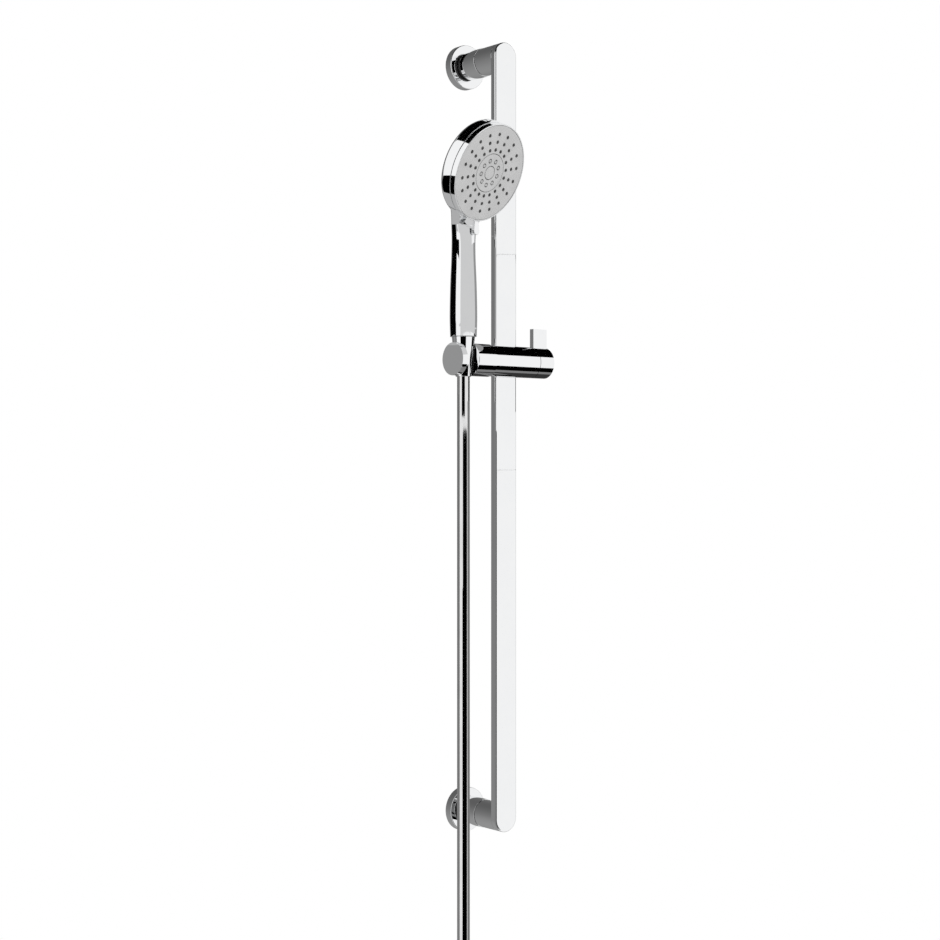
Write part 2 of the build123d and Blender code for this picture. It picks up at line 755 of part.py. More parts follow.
hank_turn = hank_run_pitch / 2
hank_straight = (hose_length - drop - 2 * pi * hank_turn - 2 * (hank_turn + hose_radius)) / 3
hank_height = hank_straight + 2 * hank_turn + 2 * hose_radius
hank_bottom = hank_top - hank_height
hank_x = seat_x - hank_turn
hank_depth = hank_layer + 2 * hose_radius
hank_width = hank_run_pitch + 2 * hose_radius
with BuildPart() as hank:
    with BuildSketch(Plane(origin=(hank_x, -axis_out + hank_layer / 2, hank_bottom))):
        RectangleRounded(hank_width, hank_depth, hose_radius)
    extrude(amount=hank_height)
    fillet(hank.edges().group_by(Axis.Z)[0] + hank.edges().group_by(Axis.Z)[-1], hank_end_round)
finish(hank, "hose_hank")
print("hank straight", round(hank_straight, 1), "turn radius", hank_turn, "height", round(hank_height, 1))

tie_z = (hank_top + hank_bottom) / 2
with BuildPart() as hose_tie:
    with BuildSketch(Plane(origin=(hank_x, -axis_out + hank_layer / 2, tie_z - tie_width / 2))):
        offset_outer = tie_gap + tie_thickness
        RectangleRounded(hank_width + 2 * offset_outer, hank_depth + 2 * offset_outer, hose_radius + offset_outer)
        RectangleRounded(
            hank_width + 2 * tie_gap,
            hank_depth + 2 * tie_gap,
            hose_radius + tie_gap,
            mode=Mode.SUBTRACT,
        )
    extrude(amount=tie_width)
finish(hose_tie, "hose_tie")

# End nut of the hose: a collar and a hexagon nut, under the last run of the hank
end_seal_seat = end_collar_length + end_nut_web
end_plane = Plane(origin=(seat_x, -axis_out + hank_layer, hank_bottom), x_dir=(1, 0, 0), z_dir=(0, 0, -1))
with BuildPart() as end_nut:
    with BuildSketch(end_plane):
        Circle(end_collar_radius)
    extrude(amount=end_collar_length)
    with BuildSketch(end_plane.offset(end_collar_length)):
        RegularPolygon(end_nut_across_flats / 2, 6, major_radius=False)
    extrude(amount=end_nut_length)
    with BuildSketch(end_plane):
        Circle(water_way)
    extrude(amount=end_collar_length + end_nut_length, mode=Mode.SUBTRACT)
    with BuildSketch(end_plane.offset(end_seal_seat)):
        Circle(inlet_radius + end_undercut)
    extrude(amount=seal_thickness, mode=Mode.SUBTRACT)
    with BuildSketch(end_plane.offset(end_seal_seat)):
        Circle(inlet_radius)
    extrude(amount=end_collar_length + end_nut_length - end_seal_seat, mode=Mode.SUBTRACT)
finish(end_nut, "hose_nut_lower")

with BuildPart() as end_seal:
    with BuildSketch(end_plane.offset(end_seal_seat)):
        Circle(inlet_radius - seal_play)
        Circle(water_way, mode=Mode.SUBTRACT)
    extrude(amount=seal_thickness)
finish(end_seal, "end_seal")
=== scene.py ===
# %% [markdown]
# A wall-mounted shower rail: two turned posts, a flat bar, a clamping slider with a tilting cradle, a hand
# shower and a hose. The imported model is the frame, so every piece below goes where that frame says, in metres.
# Sizes are written in millimetres, as on a workshop drawing, and turned into metres where a mesh is made.
# %% Load the frame
from math import cos, pi, radians, sin, sqrt

import bmesh
import bpy
from mathutils import Matrix, Vector


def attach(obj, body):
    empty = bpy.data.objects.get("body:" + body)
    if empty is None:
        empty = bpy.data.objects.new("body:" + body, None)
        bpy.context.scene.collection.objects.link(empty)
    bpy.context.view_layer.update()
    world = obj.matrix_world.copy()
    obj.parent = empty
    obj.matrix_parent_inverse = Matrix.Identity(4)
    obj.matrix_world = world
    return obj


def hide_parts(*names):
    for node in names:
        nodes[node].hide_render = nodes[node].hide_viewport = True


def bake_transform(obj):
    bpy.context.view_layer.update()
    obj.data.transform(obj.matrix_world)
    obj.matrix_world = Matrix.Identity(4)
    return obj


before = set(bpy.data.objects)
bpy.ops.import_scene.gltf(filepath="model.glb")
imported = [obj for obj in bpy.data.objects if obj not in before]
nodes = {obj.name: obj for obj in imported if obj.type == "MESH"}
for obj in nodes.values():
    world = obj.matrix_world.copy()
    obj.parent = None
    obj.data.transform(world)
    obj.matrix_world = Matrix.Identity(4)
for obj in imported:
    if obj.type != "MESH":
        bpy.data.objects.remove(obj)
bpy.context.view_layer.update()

MM = 0.001
scene = bpy.context.scene

# %% [markdown]
# The product picture was taken from well to the left, with the lens level, so that uprights stay upright.
# A long lens keeps the far post almost as large as the near end of the rail. The view direction and the place
# of the camera were worked out from the posts and from the width of the rail.
# %% Camera
CAMERA_PLACE = (-1.23696, -1.52538, -0.0367)
VIEW_DIRECTION = (0.6334, 0.7738, 0.0)
LENS_MM = 65.0
SENSOR_MM = 36.0
camera_data = bpy.data.cameras.new("Camera")
camera_data.lens = LENS_MM
camera_data.sensor_width = SENSOR_MM
camera = bpy.data.objects.new("Camera", camera_data)
camera.location = CAMERA_PLACE
camera.rotation_euler = Vector(VIEW_DIRECTION).to_track_quat("-Z", "Y").to_euler()
scene.collection.objects.link(camera)
scene.camera = camera
scene.view_settings.view_transform = "Standard"
print("camera stands", round(Vector(CAMERA_PLACE).length, 3), "m from the middle of the rail")

# %% [markdown]
# Most of this object is turned on a lathe, so most of it is made here by one function that turns an outline
# about an axis. A mesh with even rings reflects a studio cleanly, which matters more on chrome than on any
# other finish. Cuts are made with a Boolean, and a narrow bevel with hardened normals gives each edge its
# line of light.
# %% Mesh helpers
ROUND_STEPS = 128
RIGHT = (1, 0, 0)
OUT = (0, -1, 0)        # out of the wall, into the room
UP = (0, 0, 1)
DOWN = (0, 0, -1)
WELD = 0.00001          # vertices nearer than this, in metres, are one


def place(origin, along, side):
    """A matrix whose local z is along and whose local x is side, with its origin in millimetres."""
    z = Vector(along).normalized()
    y = z.cross(Vector(side)).normalized()
    x = y.cross(z)
    turn = Matrix((x, y, z)).transposed().to_4x4()
    return Matrix.Translation(Vector(origin) * MM) @ turn


def piece_from(name, vertices, faces):
    """A smooth object whose faces all point outwards."""
    mesh = bpy.data.meshes.new(name)
    mesh.from_pydata(vertices, [], faces)
    work = bmesh.new()
    work.from_mesh(mesh)
    bmesh.ops.recalc_face_normals(work, faces=work.faces)
    work.to_mesh(mesh)
    work.free()
    mesh.shade_smooth()
    piece = bpy.data.objects.new(name, mesh)
    scene.collection.objects.link(piece)
    return piece


def ring_faces(rings, closed):
    """Quads between rings of vertex numbers, and fans where a ring is a single point."""
    faces = []
    pairs = list(zip(rings, rings[1:]))
    if closed:
        pairs.append((rings[-1], rings[0]))
    for low, high in pairs:
        count = max(len(low), len(high))
        if count == 1:
            continue
        for k in range(count):
            after = (k + 1) % count
            corners = [low[k % len(low)], low[after % len(low)],
                       high[after % len(high)], high[k % len(high)]]
            faces.append(list(dict.fromkeys(corners)))
    return faces


def washer(inner, outer, start, end):
    """A square-cornered outline for the lathe, between two radii and two stations."""
    return [(inner, start), (outer, start), (outer, end), (inner, end)]


def lathe(name, outline, where, steps=ROUND_STEPS):
    """Turn a closed outline of (radius, station) points, in millimetres, about the local z axis of where."""
    vertices = []
    rings = []
    for radius, station in outline:
        if radius == 0:
            rings.append([len(vertices)])
            vertices.append(where @ Vector((0, 0, station * MM)))
            continue
        rings.append(list(range(len(vertices), len(vertices) + steps)))
        for k in range(steps):
            angle = 2 * pi * k / steps
            point = Vector((radius * cos(angle), radius * sin(angle), station))
            vertices.append(where @ (point * MM))
    return piece_from(name, vertices, ring_faces(rings, closed=True))


def prism(name, outline, depth, where):
    """Extrude a closed outline of (x, y) points, in millimetres, by depth along the local z axis of where."""
    count = len(outline)
    vertices = [where @ (Vector((x, y, z)) * MM) for z in (0, depth) for x, y in outline]
    faces = [list(range(count)), list(range(count, 2 * count))]
    for k in range(count):
        after = (k + 1) % count
        faces.append([k, after, count + after, count + k])
    return piece_from(name, vertices, faces)


def settle(piece):
    """Turn the modified shape into a plain mesh and drop the modifiers."""
    seen = piece.evaluated_get(bpy.context.evaluated_depsgraph_get())
    mesh = bpy.data.meshes.new_from_object(seen)
    piece.modifiers.clear()
    piece.data = mesh


def combine(piece, other, operation):
    """Cut other from piece, or join it to piece, and remove other."""
    modifier = piece.modifiers.new("combine", "BOOLEAN")
    modifier.operation = operation
    modifier.object = other
    modifier.solver = "EXACT"
    settle(piece)
    bpy.data.objects.remove(other)
    piece.data.shade_smooth()


def soften(piece, width, segments=3, angle=32, weigh=None):
    """A narrow bevel on every sharp edge, or on edges weighed by their middle, with the flats kept flat."""
    work = bmesh.new()
    work.from_mesh(piece.data)
    bmesh.ops.remove_doubles(work, verts=work.verts, dist=WELD)
    bmesh.ops.dissolve_degenerate(work, edges=work.edges, dist=WELD)
    work.to_mesh(piece.data)
    work.free()
    piece.data.shade_smooth()
    modifier = piece.modifiers.new("edges", "BEVEL")
    modifier.width = width * MM
    modifier.segments = segments
    modifier.limit_method = "ANGLE"
    modifier.angle_limit = radians(angle)
    if weigh:
        modifier.limit_method = "WEIGHT"
        weights = piece.data.attributes.new("bevel_weight_edge", "FLOAT", "EDGE")
        points = piece.data.vertices
        for edge, weight in zip(piece.data.edges, weights.data):
            weight.value = weigh((points[edge.vertices[0]].co + points[edge.vertices[1]].co) / 2)
    modifier.harden_normals = True
    settle(piece)


def arc(centre, radius, start, end, steps):
    """Points on an arc, angles in degrees."""
    points = []
    for k in range(steps + 1):
        angle = radians(start + (end - start) * k / steps)
        points.append((centre[0] + radius * cos(angle), centre[1] + radius * sin(angle)))
    return points


def paint(piece, material):
    """Give a piece one material and no other."""
    piece.data.materials.clear()
    piece.data.materials.append(material)


print("helpers ready:", ROUND_STEPS, "steps to a full turn")

# %% [markdown]
# Each post is four turned pieces in a row: a cup that covers the wall plate, a narrow neck, a collar and the
# front post, which is exactly as wide as the rail. The dark groove between cup and collar is the shadow of the
# neck, so it is modelled as real depth.
# %% Wall posts
POST_SPACING = 855.0
FLANGE_RADIUS = 25.0
FLANGE_DEPTH = 10.6
FLANGE_WALL = 1.8
STUB_HOLE = 9.1
STUB_HOLE_END = 34.4
NECK_RADIUS = 13.0
NECK_FRONT = 15.2
COLLAR_RADIUS = 16.0
COLLAR_FRONT = 40.6
SPIGOT_RADIUS = 7.0
SPIGOT_FRONT = 48.6
SPIGOT_PLAY = 0.05
SPIGOT_END_PLAY = 0.5
POST_BACK = 41.0
POST_RADIUS = 15.5
RAIL_BACK = 70.3
half_spacing = POST_SPACING / 2
post_places = {
    "upper": place((0, 0, half_spacing), OUT, RIGHT),
    "lower": place((0, 0, -half_spacing), OUT, RIGHT),
}
flange_inner = FLANGE_RADIUS - FLANGE_WALL
flange_outline = [
    (FLANGE_RADIUS, 0), (FLANGE_RADIUS, FLANGE_DEPTH), (STUB_HOLE, FLANGE_DEPTH),
    (STUB_HOLE, FLANGE_DEPTH - FLANGE_WALL), (flange_inner, FLANGE_DEPTH - FLANGE_WALL), (flange_inner, 0),
]
sleeve_outline = [
    (STUB_HOLE, FLANGE_DEPTH), (NECK_RADIUS, FLANGE_DEPTH), (NECK_RADIUS, NECK_FRONT),
    (COLLAR_RADIUS, NECK_FRONT), (COLLAR_RADIUS, COLLAR_FRONT), (SPIGOT_RADIUS, COLLAR_FRONT),
    (SPIGOT_RADIUS, SPIGOT_FRONT), (0, SPIGOT_FRONT), (0, STUB_HOLE_END), (STUB_HOLE, STUB_HOLE_END),
]
spigot_hole = SPIGOT_RADIUS + SPIGOT_PLAY
spigot_hole_end = SPIGOT_FRONT + SPIGOT_END_PLAY
post_outline = [
    (spigot_hole, POST_BACK), (POST_RADIUS, POST_BACK), (POST_RADIUS, RAIL_BACK), (0, RAIL_BACK),
    (0, spigot_hole_end), (spigot_hole, spigot_hole_end),
]
chrome_pieces = []
for side, wall_side in post_places.items():
    for node, outline, edge in (
        ("flange_cover", flange_outline, 0.9),
        ("post_sleeve", sleeve_outline, 0.4),
        ("post_front", post_outline, 0.3),
    ):
        piece = lathe(f"{node}_{side}_turned", outline, wall_side)
        soften(piece, edge)
        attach(piece, "wall_rail")
        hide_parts(f"{node}_{side}")
        chrome_pieces.append(piece)
print("turned", len(chrome_pieces), "post pieces")

# %% [markdown]
# The rail is a flat bar with full round ends. Its front edge is rounded, and that round shows as a bright line
# all round the flat face, so the bevel is a real one with several segments.
# %% Rail
RAIL_WIDTH = 31.0
RAIL_THICKNESS = 8.0
RAIL_EDGE = 2.0
RAIL_BACK_EDGE = 0.3
RAIL_EDGE_SEGMENTS = 6
END_STEPS = 48
OUTLINE_NEAR = 0.1
rail_face = RAIL_BACK + RAIL_THICKNESS
rail_outline = arc((0, half_spacing), RAIL_WIDTH / 2, 0, 180, END_STEPS)
rail_outline += arc((0, -half_spacing), RAIL_WIDTH / 2, 180, 360, END_STEPS)
rail_place = place((0, -RAIL_BACK, 0), OUT, RIGHT)
local_outline = [(x, -y) for x, y in rail_outline]      # the local y of this place points down
rail = prism("rail_bar", local_outline, RAIL_THICKNESS, rail_place)


def rail_weight(middle):
    """1 on the front outline, a little on the back one, and nothing on the short edges between them."""
    out = -middle.y / MM
    if out > rail_face - OUTLINE_NEAR:
        return 1.0
    return RAIL_BACK_EDGE / RAIL_EDGE if out < RAIL_BACK + OUTLINE_NEAR else 0.0


soften(rail, RAIL_EDGE, segments=RAIL_EDGE_SEGMENTS, weigh=rail_weight)
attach(rail, "wall_rail")
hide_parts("rail")
chrome_pieces.append(rail)
print("rail", [round(v / MM, 1) for v in rail.dimensions])

# %% [markdown]
# The slider is a round bar across the rail. Its left half is the cradle, which tilts about the bar's own axis,
# and its right end is the clamp knob with a flat lever. All three are turned on one axis and then cut. The
# body's slot could be a rectangle in a sketch, but here it is a block that a Boolean takes away.
# %% Slider body
AXIS_OUT = 82.3
SLIDER_HEIGHT = 84.5
SLIDER_RADIUS = 17.3
SLIDER_LEFT = -30.5
SLIDER_RIGHT = 33.0
LINER_HALF_WIDTH = 17.1
LINER_BACK = 68.7
LINER_FRONT = 79.9
CUT_OVERRUN = 2         # how far a cutter passes what it cuts
TURNED_EDGE = 0.5
HAND_EDGE = 0.6         # a softer edge where a hand takes hold
bar_place = place((0, -AXIS_OUT, SLIDER_HEIGHT), RIGHT, (0, 1, 0))


def box(name, low, high):
    """A plain block between two corners, in millimetres, used as a cutter or as stock."""
    outline = [(low[0], low[1]), (high[0], low[1]), (high[0], high[1]), (low[0], high[1])]
    return prism(name, outline, high[2] - low[2], place((0, 0, low[2]), UP, RIGHT))


def bar(name, left, right, radius):
    """A round bar on the slider's axis, between two x positions."""
    return lathe(name, washer(0, radius, left, right), bar_place)


slider = bar("slider_bar", SLIDER_LEFT, SLIDER_RIGHT, SLIDER_RADIUS)
slot_low = (-LINER_HALF_WIDTH, -LINER_FRONT, SLIDER_HEIGHT - SLIDER_RADIUS - CUT_OVERRUN)
slot_high = (LINER_HALF_WIDTH, -LINER_BACK, SLIDER_HEIGHT + SLIDER_RADIUS + CUT_OVERRUN)
combine(slider, box("slot_cutter", slot_low, slot_high), "DIFFERENCE")
soften(slider, TURNED_EDGE)
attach(slider, "slider")
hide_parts("slider_body")
chrome_pieces.append(slider)
print("slider bar", len(slider.data.polygons), "faces")

# %% [markdown]
# The knob clamps the slider where the hand leaves it. Its lever is a flat tab that stands up from the round
# end, so a block is joined to the turned bar, and one bevel then runs round both.
# %% Clamp knob with its lever
KNOB_LEFT = 33.5
KNOB_RIGHT = 53.5
LEVER_THICKNESS = 6.0
LEVER_FORWARD = 1.2
LEVER_REACH = 38.2
knob = bar("clamp_knob_turned", KNOB_LEFT, KNOB_RIGHT, SLIDER_RADIUS)
lever_middle = -AXIS_OUT - LEVER_FORWARD
lever_low = (KNOB_LEFT, lever_middle - LEVER_THICKNESS / 2, SLIDER_HEIGHT)
lever_high = (KNOB_RIGHT, lever_middle + LEVER_THICKNESS / 2, SLIDER_HEIGHT + LEVER_REACH)
combine(knob, box("lever_stock", lever_low, lever_high), "UNION")
soften(knob, HAND_EDGE)
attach(knob, "knob")
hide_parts("clamp_knob")
chrome_pieces.append(knob)
print("clamp knob", len(knob.data.polygons), "faces")

# %% [markdown]
# The cradle holds the hose's cone in a tapered seat, which is open to the front so that the hose can pass. A
# cone is cut through the turned bar first, then a slot just wider than the hose, from the front to the seat.
# %% Cradle
CRADLE_RADIUS = 18.0
CRADLE_LEFT = -80.1
CRADLE_RIGHT = -30.8
SEAT_X = -65.0
SEAT_SLOT = 16.6
SEAT_LINER = 1.2
CONE_TOP_RADIUS = 12.7
CONE_BOTTOM_RADIUS = 8.6
CONE_TOP = 24.6
CONE_BOTTOM = -19.0


def cone_radius(height):
    """The cone's radius at a height above the slider's axis."""
    share = (height - CONE_BOTTOM) / (CONE_TOP - CONE_BOTTOM)
    return CONE_BOTTOM_RADIUS + share * (CONE_TOP_RADIUS - CONE_BOTTOM_RADIUS)


seat_place = place((SEAT_X, -AXIS_OUT, SLIDER_HEIGHT), UP, RIGHT)
cut_reach = CRADLE_RADIUS + CUT_OVERRUN
cradle = bar("cradle_turned", CRADLE_LEFT, CRADLE_RIGHT, CRADLE_RADIUS)
seat_cutter = lathe(
    "seat_cutter",
    [(0, -cut_reach), (cone_radius(-cut_reach) + SEAT_LINER, -cut_reach),
     (cone_radius(cut_reach) + SEAT_LINER, cut_reach), (0, cut_reach)],
    seat_place,
)
combine(cradle, seat_cutter, "DIFFERENCE")
slot_low = (SEAT_X - SEAT_SLOT / 2, -AXIS_OUT - cut_reach, SLIDER_HEIGHT - cut_reach)
slot_high = (SEAT_X + SEAT_SLOT / 2, -AXIS_OUT, SLIDER_HEIGHT + cut_reach)
combine(cradle, box("mouth_cutter", slot_low, slot_high), "DIFFERENCE")
soften(cradle, HAND_EDGE)
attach(cradle, "cradle")
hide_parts("cradle")
chrome_pieces.append(cradle)
print("cradle", len(cradle.data.polygons), "faces")

# %% [markdown]
# The hose ends in a long cone that drops into the cradle, and its socket takes the hand shower's thread. It is
# turned like the rest, from the same radii as the seat, so the two fit.
# %% Cone nut of the hose
WATER_WAY = 4.0
SOCKET_RADIUS = 10.3
SOCKET_FLOOR = 8.0
cone = lathe(
    "cone_nut",
    [(WATER_WAY, CONE_BOTTOM), (CONE_BOTTOM_RADIUS, CONE_BOTTOM), (CONE_TOP_RADIUS, CONE_TOP),
     (SOCKET_RADIUS, CONE_TOP), (SOCKET_RADIUS, SOCKET_FLOOR), (WATER_WAY, SOCKET_FLOOR)],
    seat_place,
)
soften(cone, TURNED_EDGE)
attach(cone, "cradle")
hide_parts("hose_nut_upper")
chrome_pieces.append(cone)
print("cone nut", round(CONE_TOP - CONE_BOTTOM, 1), "mm long")

# %% [markdown]
# The hand shower's handle is a loft: oval sections that lean forward more and more as they near the head. The
# head itself is turned about the axis of the spray face, and the two are joined into one moulding.
# %% Hand shower: its own frame
HANDSET_YAW = 11.4
FACE_FORWARD = 37.3
FACE_HEIGHT = 199.8
FACE_TILT = 23.1
yaw = radians(HANDSET_YAW)
handset_x = Vector((cos(yaw), sin(yaw), 0))
handset_y = Vector((-sin(yaw), cos(yaw), 0))
handset_origin = Vector((SEAT_X, -AXIS_OUT, SLIDER_HEIGHT))


def handset_point(x, y, z):
    """A point in the hand shower's own axes, which are turned a little about the vertical."""
    return handset_origin + handset_x * x + handset_y * y + Vector((0, 0, z))


tilt = radians(FACE_TILT)
face_normal = handset_y * -cos(tilt) + Vector((0, 0, -sin(tilt)))
face_up = handset_y * -sin(tilt) + Vector((0, 0, cos(tilt)))
face_centre = handset_point(0, -FACE_FORWARD, FACE_HEIGHT)
behind_face = place(face_centre, -face_normal, handset_x)
print("face centre", [round(v, 1) for v in face_centre])

# %% [markdown]
# A row of the table below is one section of the handle: how far up it is and how far forward, as shares of the
# way to the ring's lower edge, then half its width, half its depth and its lean. The loft runs on into the
# head, where a Boolean joins the two, and what stands in front of the ring's plane is cut off.
# %% Hand shower: handle and head in one moulding
CONE_GAP = 0.3
RING_RADIUS = 54.0
handle_bottom = CONE_TOP + CONE_GAP
ring_low = FACE_HEIGHT - RING_RADIUS * cos(tilt)
ring_low_forward = FACE_FORWARD - RING_RADIUS * sin(tilt)
HANDLE_STATIONS = (
    (0.0, 0.0, 13.6, 15.2, 0.0),
    (0.157, 0.0, 14.0, 15.8, 0.0),
    (0.329, 0.0, 13.8, 15.5, 0.0),
    (0.501, 0.0, 13.2, 14.9, 0.0),
    (0.673, 0.0, 12.4, 13.9, 0.0),
    (0.845, 0.012, 12.5, 13.4, 2.0),
    (0.955, 0.062, 15.5, 12.9, 7.0),
    (1.041, 0.217, 21.0, 12.1, 14.0),
    (1.119, 0.497, 30.0, 10.8, 20.0),
    (1.197, 0.807, 38.0, 9.3, 23.0),
)
HANDLE_PARTS = 8        # sections between two rows


def between(a, b, c, d, t):
    """A smooth value between b and c, where a and d are their neighbours."""
    return 0.5 * (2 * b + (c - a) * t + (2 * a - 5 * b + 4 * c - d) * t * t + (3 * b - a - 3 * c + d) * t ** 3)


def handle_sections():
    """The table's rows with smooth steps between them."""
    last = len(HANDLE_STATIONS) - 1
    for k in range(last):
        near = [HANDLE_STATIONS[min(max(k + step, 0), last)] for step in (-1, 0, 1, 2)]
        for part in range(HANDLE_PARTS):
            yield [between(*values, part / HANDLE_PARTS) for values in zip(*near)]
    yield list(HANDLE_STATIONS[-1])


vertices = []
rings = []
for rise, reach, half_width, half_depth, lean in handle_sections():
    slope = radians(lean)
    middle = handset_point(0, -reach * ring_low_forward, handle_bottom + rise * (ring_low - handle_bottom))
    across = handset_y * cos(slope) + Vector((0, 0, sin(slope)))
    rings.append(list(range(len(vertices), len(vertices) + ROUND_STEPS)))
    for k in range(ROUND_STEPS):
        angle = 2 * pi * k / ROUND_STEPS
        point = middle + handset_x * (half_width * cos(angle)) + across * (half_depth * sin(angle))
        vertices.append(point * MM)
faces = ring_faces(rings, closed=False)
faces += [rings[0], rings[-1]]
shell = piece_from("handset_moulding", vertices, faces)

HEAD_RADIUS = 54.5
HEAD_DEPTH = 24.0
HEAD_BACK_ROUND = 7.0
HEAD_DOME = 2.5
RING_DEPTH = 7.0
RING_GAP = 0.3
DOME_STEPS = 8
FRONT_CUT_REACH = 40
FRONT_CUT_MARGIN = 8
SHELL_EDGE_ANGLE = 40
head_front = RING_DEPTH + RING_GAP
dome_edge = HEAD_RADIUS - HEAD_BACK_ROUND
dome_radius = (dome_edge ** 2 + HEAD_DOME ** 2) / (2 * HEAD_DOME)
head_outline = [(0, head_front), (HEAD_RADIUS, head_front)]
head_outline += arc((dome_edge, HEAD_DEPTH - HEAD_BACK_ROUND), HEAD_BACK_ROUND, 0, 90, steps=10)
for k in range(1, DOME_STEPS + 1):
    radius = dome_edge * (1 - k / DOME_STEPS)
    drop = dome_radius - sqrt(dome_radius ** 2 - radius ** 2)
    head_outline.append((radius, HEAD_DEPTH + HEAD_DOME - drop))
head = lathe("head_stock", head_outline, behind_face)
cut_outline = washer(0, HEAD_RADIUS + FRONT_CUT_MARGIN, -FRONT_CUT_REACH, head_front)
front_cut = lathe("front_cutter", cut_outline, behind_face)
combine(shell, front_cut, "DIFFERENCE")
combine(shell, head, "UNION")
soften(shell, TURNED_EDGE, angle=SHELL_EDGE_ANGLE)
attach(shell, "cradle")
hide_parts("handset_shell")
print("hand shower moulding", len(shell.data.polygons), "faces")

# %% [markdown]
# In front of the moulding sits the ring that turns to change the spray. It carries the drop-shaped tab below
# the head, and the thin line between ring and moulding is a real gap.
# %% Selector ring with its tab
RING_INNER = 52.7
TAB_BULB = 4.6
TAB_STEM = 2.6
TAB_LENGTH = 13.5
TAB_THICKNESS = 3.0
TAB_IN_RING = 3         # how far inside the rim the tab's outline starts
TAB_OVERLAP = 0.4       # what is left of that inside the ring
TAB_EDGE = 1.1
CORE_BACK = RING_DEPTH + 4
CORE_FRONT = -3
ring = lathe("selector_ring_turned", washer(RING_INNER, RING_RADIUS, RING_DEPTH, 0), behind_face)
soften(ring, TURNED_EDGE, segments=4)
tab_root = face_centre - face_up * (RING_RADIUS - TAB_IN_RING) + handset_y * (TAB_THICKNESS / 2)
tab_place = place(tab_root, -handset_y, handset_x)
tab_outline = [(-TAB_STEM, 0)] + arc((0, -TAB_LENGTH), TAB_BULB, 160, 380, steps=32) + [(TAB_STEM, 0)]
tab = prism("selector_tab", tab_outline, TAB_THICKNESS, tab_place)
ring_core = lathe("ring_core", washer(0, RING_RADIUS - TAB_OVERLAP, CORE_BACK, CORE_FRONT), behind_face)
combine(tab, ring_core, "DIFFERENCE")
soften(tab, TAB_EDGE, segments=5)
for piece in (ring, tab):
    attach(piece, "selector")
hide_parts("selector_ring")
chrome_plastic = [shell, ring, tab]
print("ring and tab made")

# %% [markdown]
# The spray face repeats one thing many times: a small silicone nozzle in a clean round hole. Geometry Nodes
# place them on spokes from a few named sizes, once as cutters for the holes and once as the nozzles.
# %% Spokes of points with Geometry Nodes
SPOKES = 18
ROWS = 3
FIRST_ROW = 25.6
ROW_STEP = 8.55
START_ANGLE = -15.0


def spoke_tree(name):
    """A tree that sets copies of an object on rows along spokes, with sizes in metres and radians."""
    tree = bpy.data.node_groups.new(name, "GeometryNodeTree")
    tree.interface.new_socket("Geometry", in_out="OUTPUT", socket_type="NodeSocketGeometry")
    for label, kind in (("Spokes", "Int"), ("Rows", "Int"), ("First row", "Float"), ("Row step", "Float"),
                        ("Start angle", "Float"), ("Copy", "Object"), ("Finish", "Material")):
        tree.interface.new_socket(label, in_out="INPUT", socket_type="NodeSocket" + kind)

    def node(kind, *links, operation=None):
        """A node with its operation and its linked inputs, given as (input, socket) pairs."""
        made = tree.nodes.new(kind)
        if operation:
            made.operation = operation
        for name, socket in links:
            tree.links.new(socket, made.inputs[name])
        return made.outputs

    given = node("NodeGroupInput")
    start = node("ShaderNodeCombineXYZ", ("X", given["First row"]))
    step = node("ShaderNodeCombineXYZ", ("X", given["Row step"]))
    row = node("GeometryNodeMeshLine", ("Count", given["Rows"]), ("Start Location", start[0]),
               ("Offset", step[0]))
    hub = node("GeometryNodePoints", ("Count", given["Spokes"]))
    index = node("GeometryNodeInputIndex")
    share = node("ShaderNodeMath", (0, index[0]), (1, given["Spokes"]), operation="DIVIDE")
    turn = node("ShaderNodeMath", (0, share[0]), (2, given["Start angle"]), operation="MULTIPLY_ADD")
    turn[0].node.inputs[1].default_value = 2 * pi
    rotation = node("ShaderNodeCombineXYZ", ("Z", turn[0]))
    spokes = node("GeometryNodeInstanceOnPoints", ("Points", hub[0]), ("Instance", row[0]),
                  ("Rotation", rotation[0]))
    dots = node("GeometryNodeRealizeInstances", (0, spokes[0]))
    shape = node("GeometryNodeObjectInfo", ("Object", given["Copy"]))
    copies = node("GeometryNodeInstanceOnPoints", ("Points", dots[0]), ("Instance", shape["Geometry"]))
    real = node("GeometryNodeRealizeInstances", (0, copies[0]))
    finish = node("GeometryNodeSetMaterial", ("Geometry", real[0]), ("Material", given["Finish"]))
    node("NodeGroupOutput", (0, finish[0]))
    return tree


SPOKE_TREE = spoke_tree("Rows on spokes")


def on_spokes(name, copy, pattern, finish, where):
    """One mesh of copies set on spokes about the local z axis of where."""
    piece = bpy.data.objects.new(name, bpy.data.meshes.new(name))
    scene.collection.objects.link(piece)
    modifier = piece.modifiers.new("spokes", "NODES")
    modifier.node_group = SPOKE_TREE
    spokes, rows, first, step, start = pattern
    values = {"Spokes": spokes, "Rows": rows, "First row": first * MM, "Row step": step * MM,
              "Start angle": radians(start), "Copy": copy, "Finish": finish}
    for item in SPOKE_TREE.interface.items_tree:
        if item.in_out == "INPUT":
            modifier[item.identifier] = values[item.name]
    settle(piece)
    piece.data.transform(where)
    bpy.data.objects.remove(copy)
    return piece


print("tree with", len(SPOKE_TREE.nodes), "nodes")

# %% [markdown]
# Shader maths reads best as plain expressions. The class below wraps a socket, so that a mask can be added to,
# multiplied or taken from 1, and one method makes any other node from its type, settings and inputs.
# %% Shader expressions


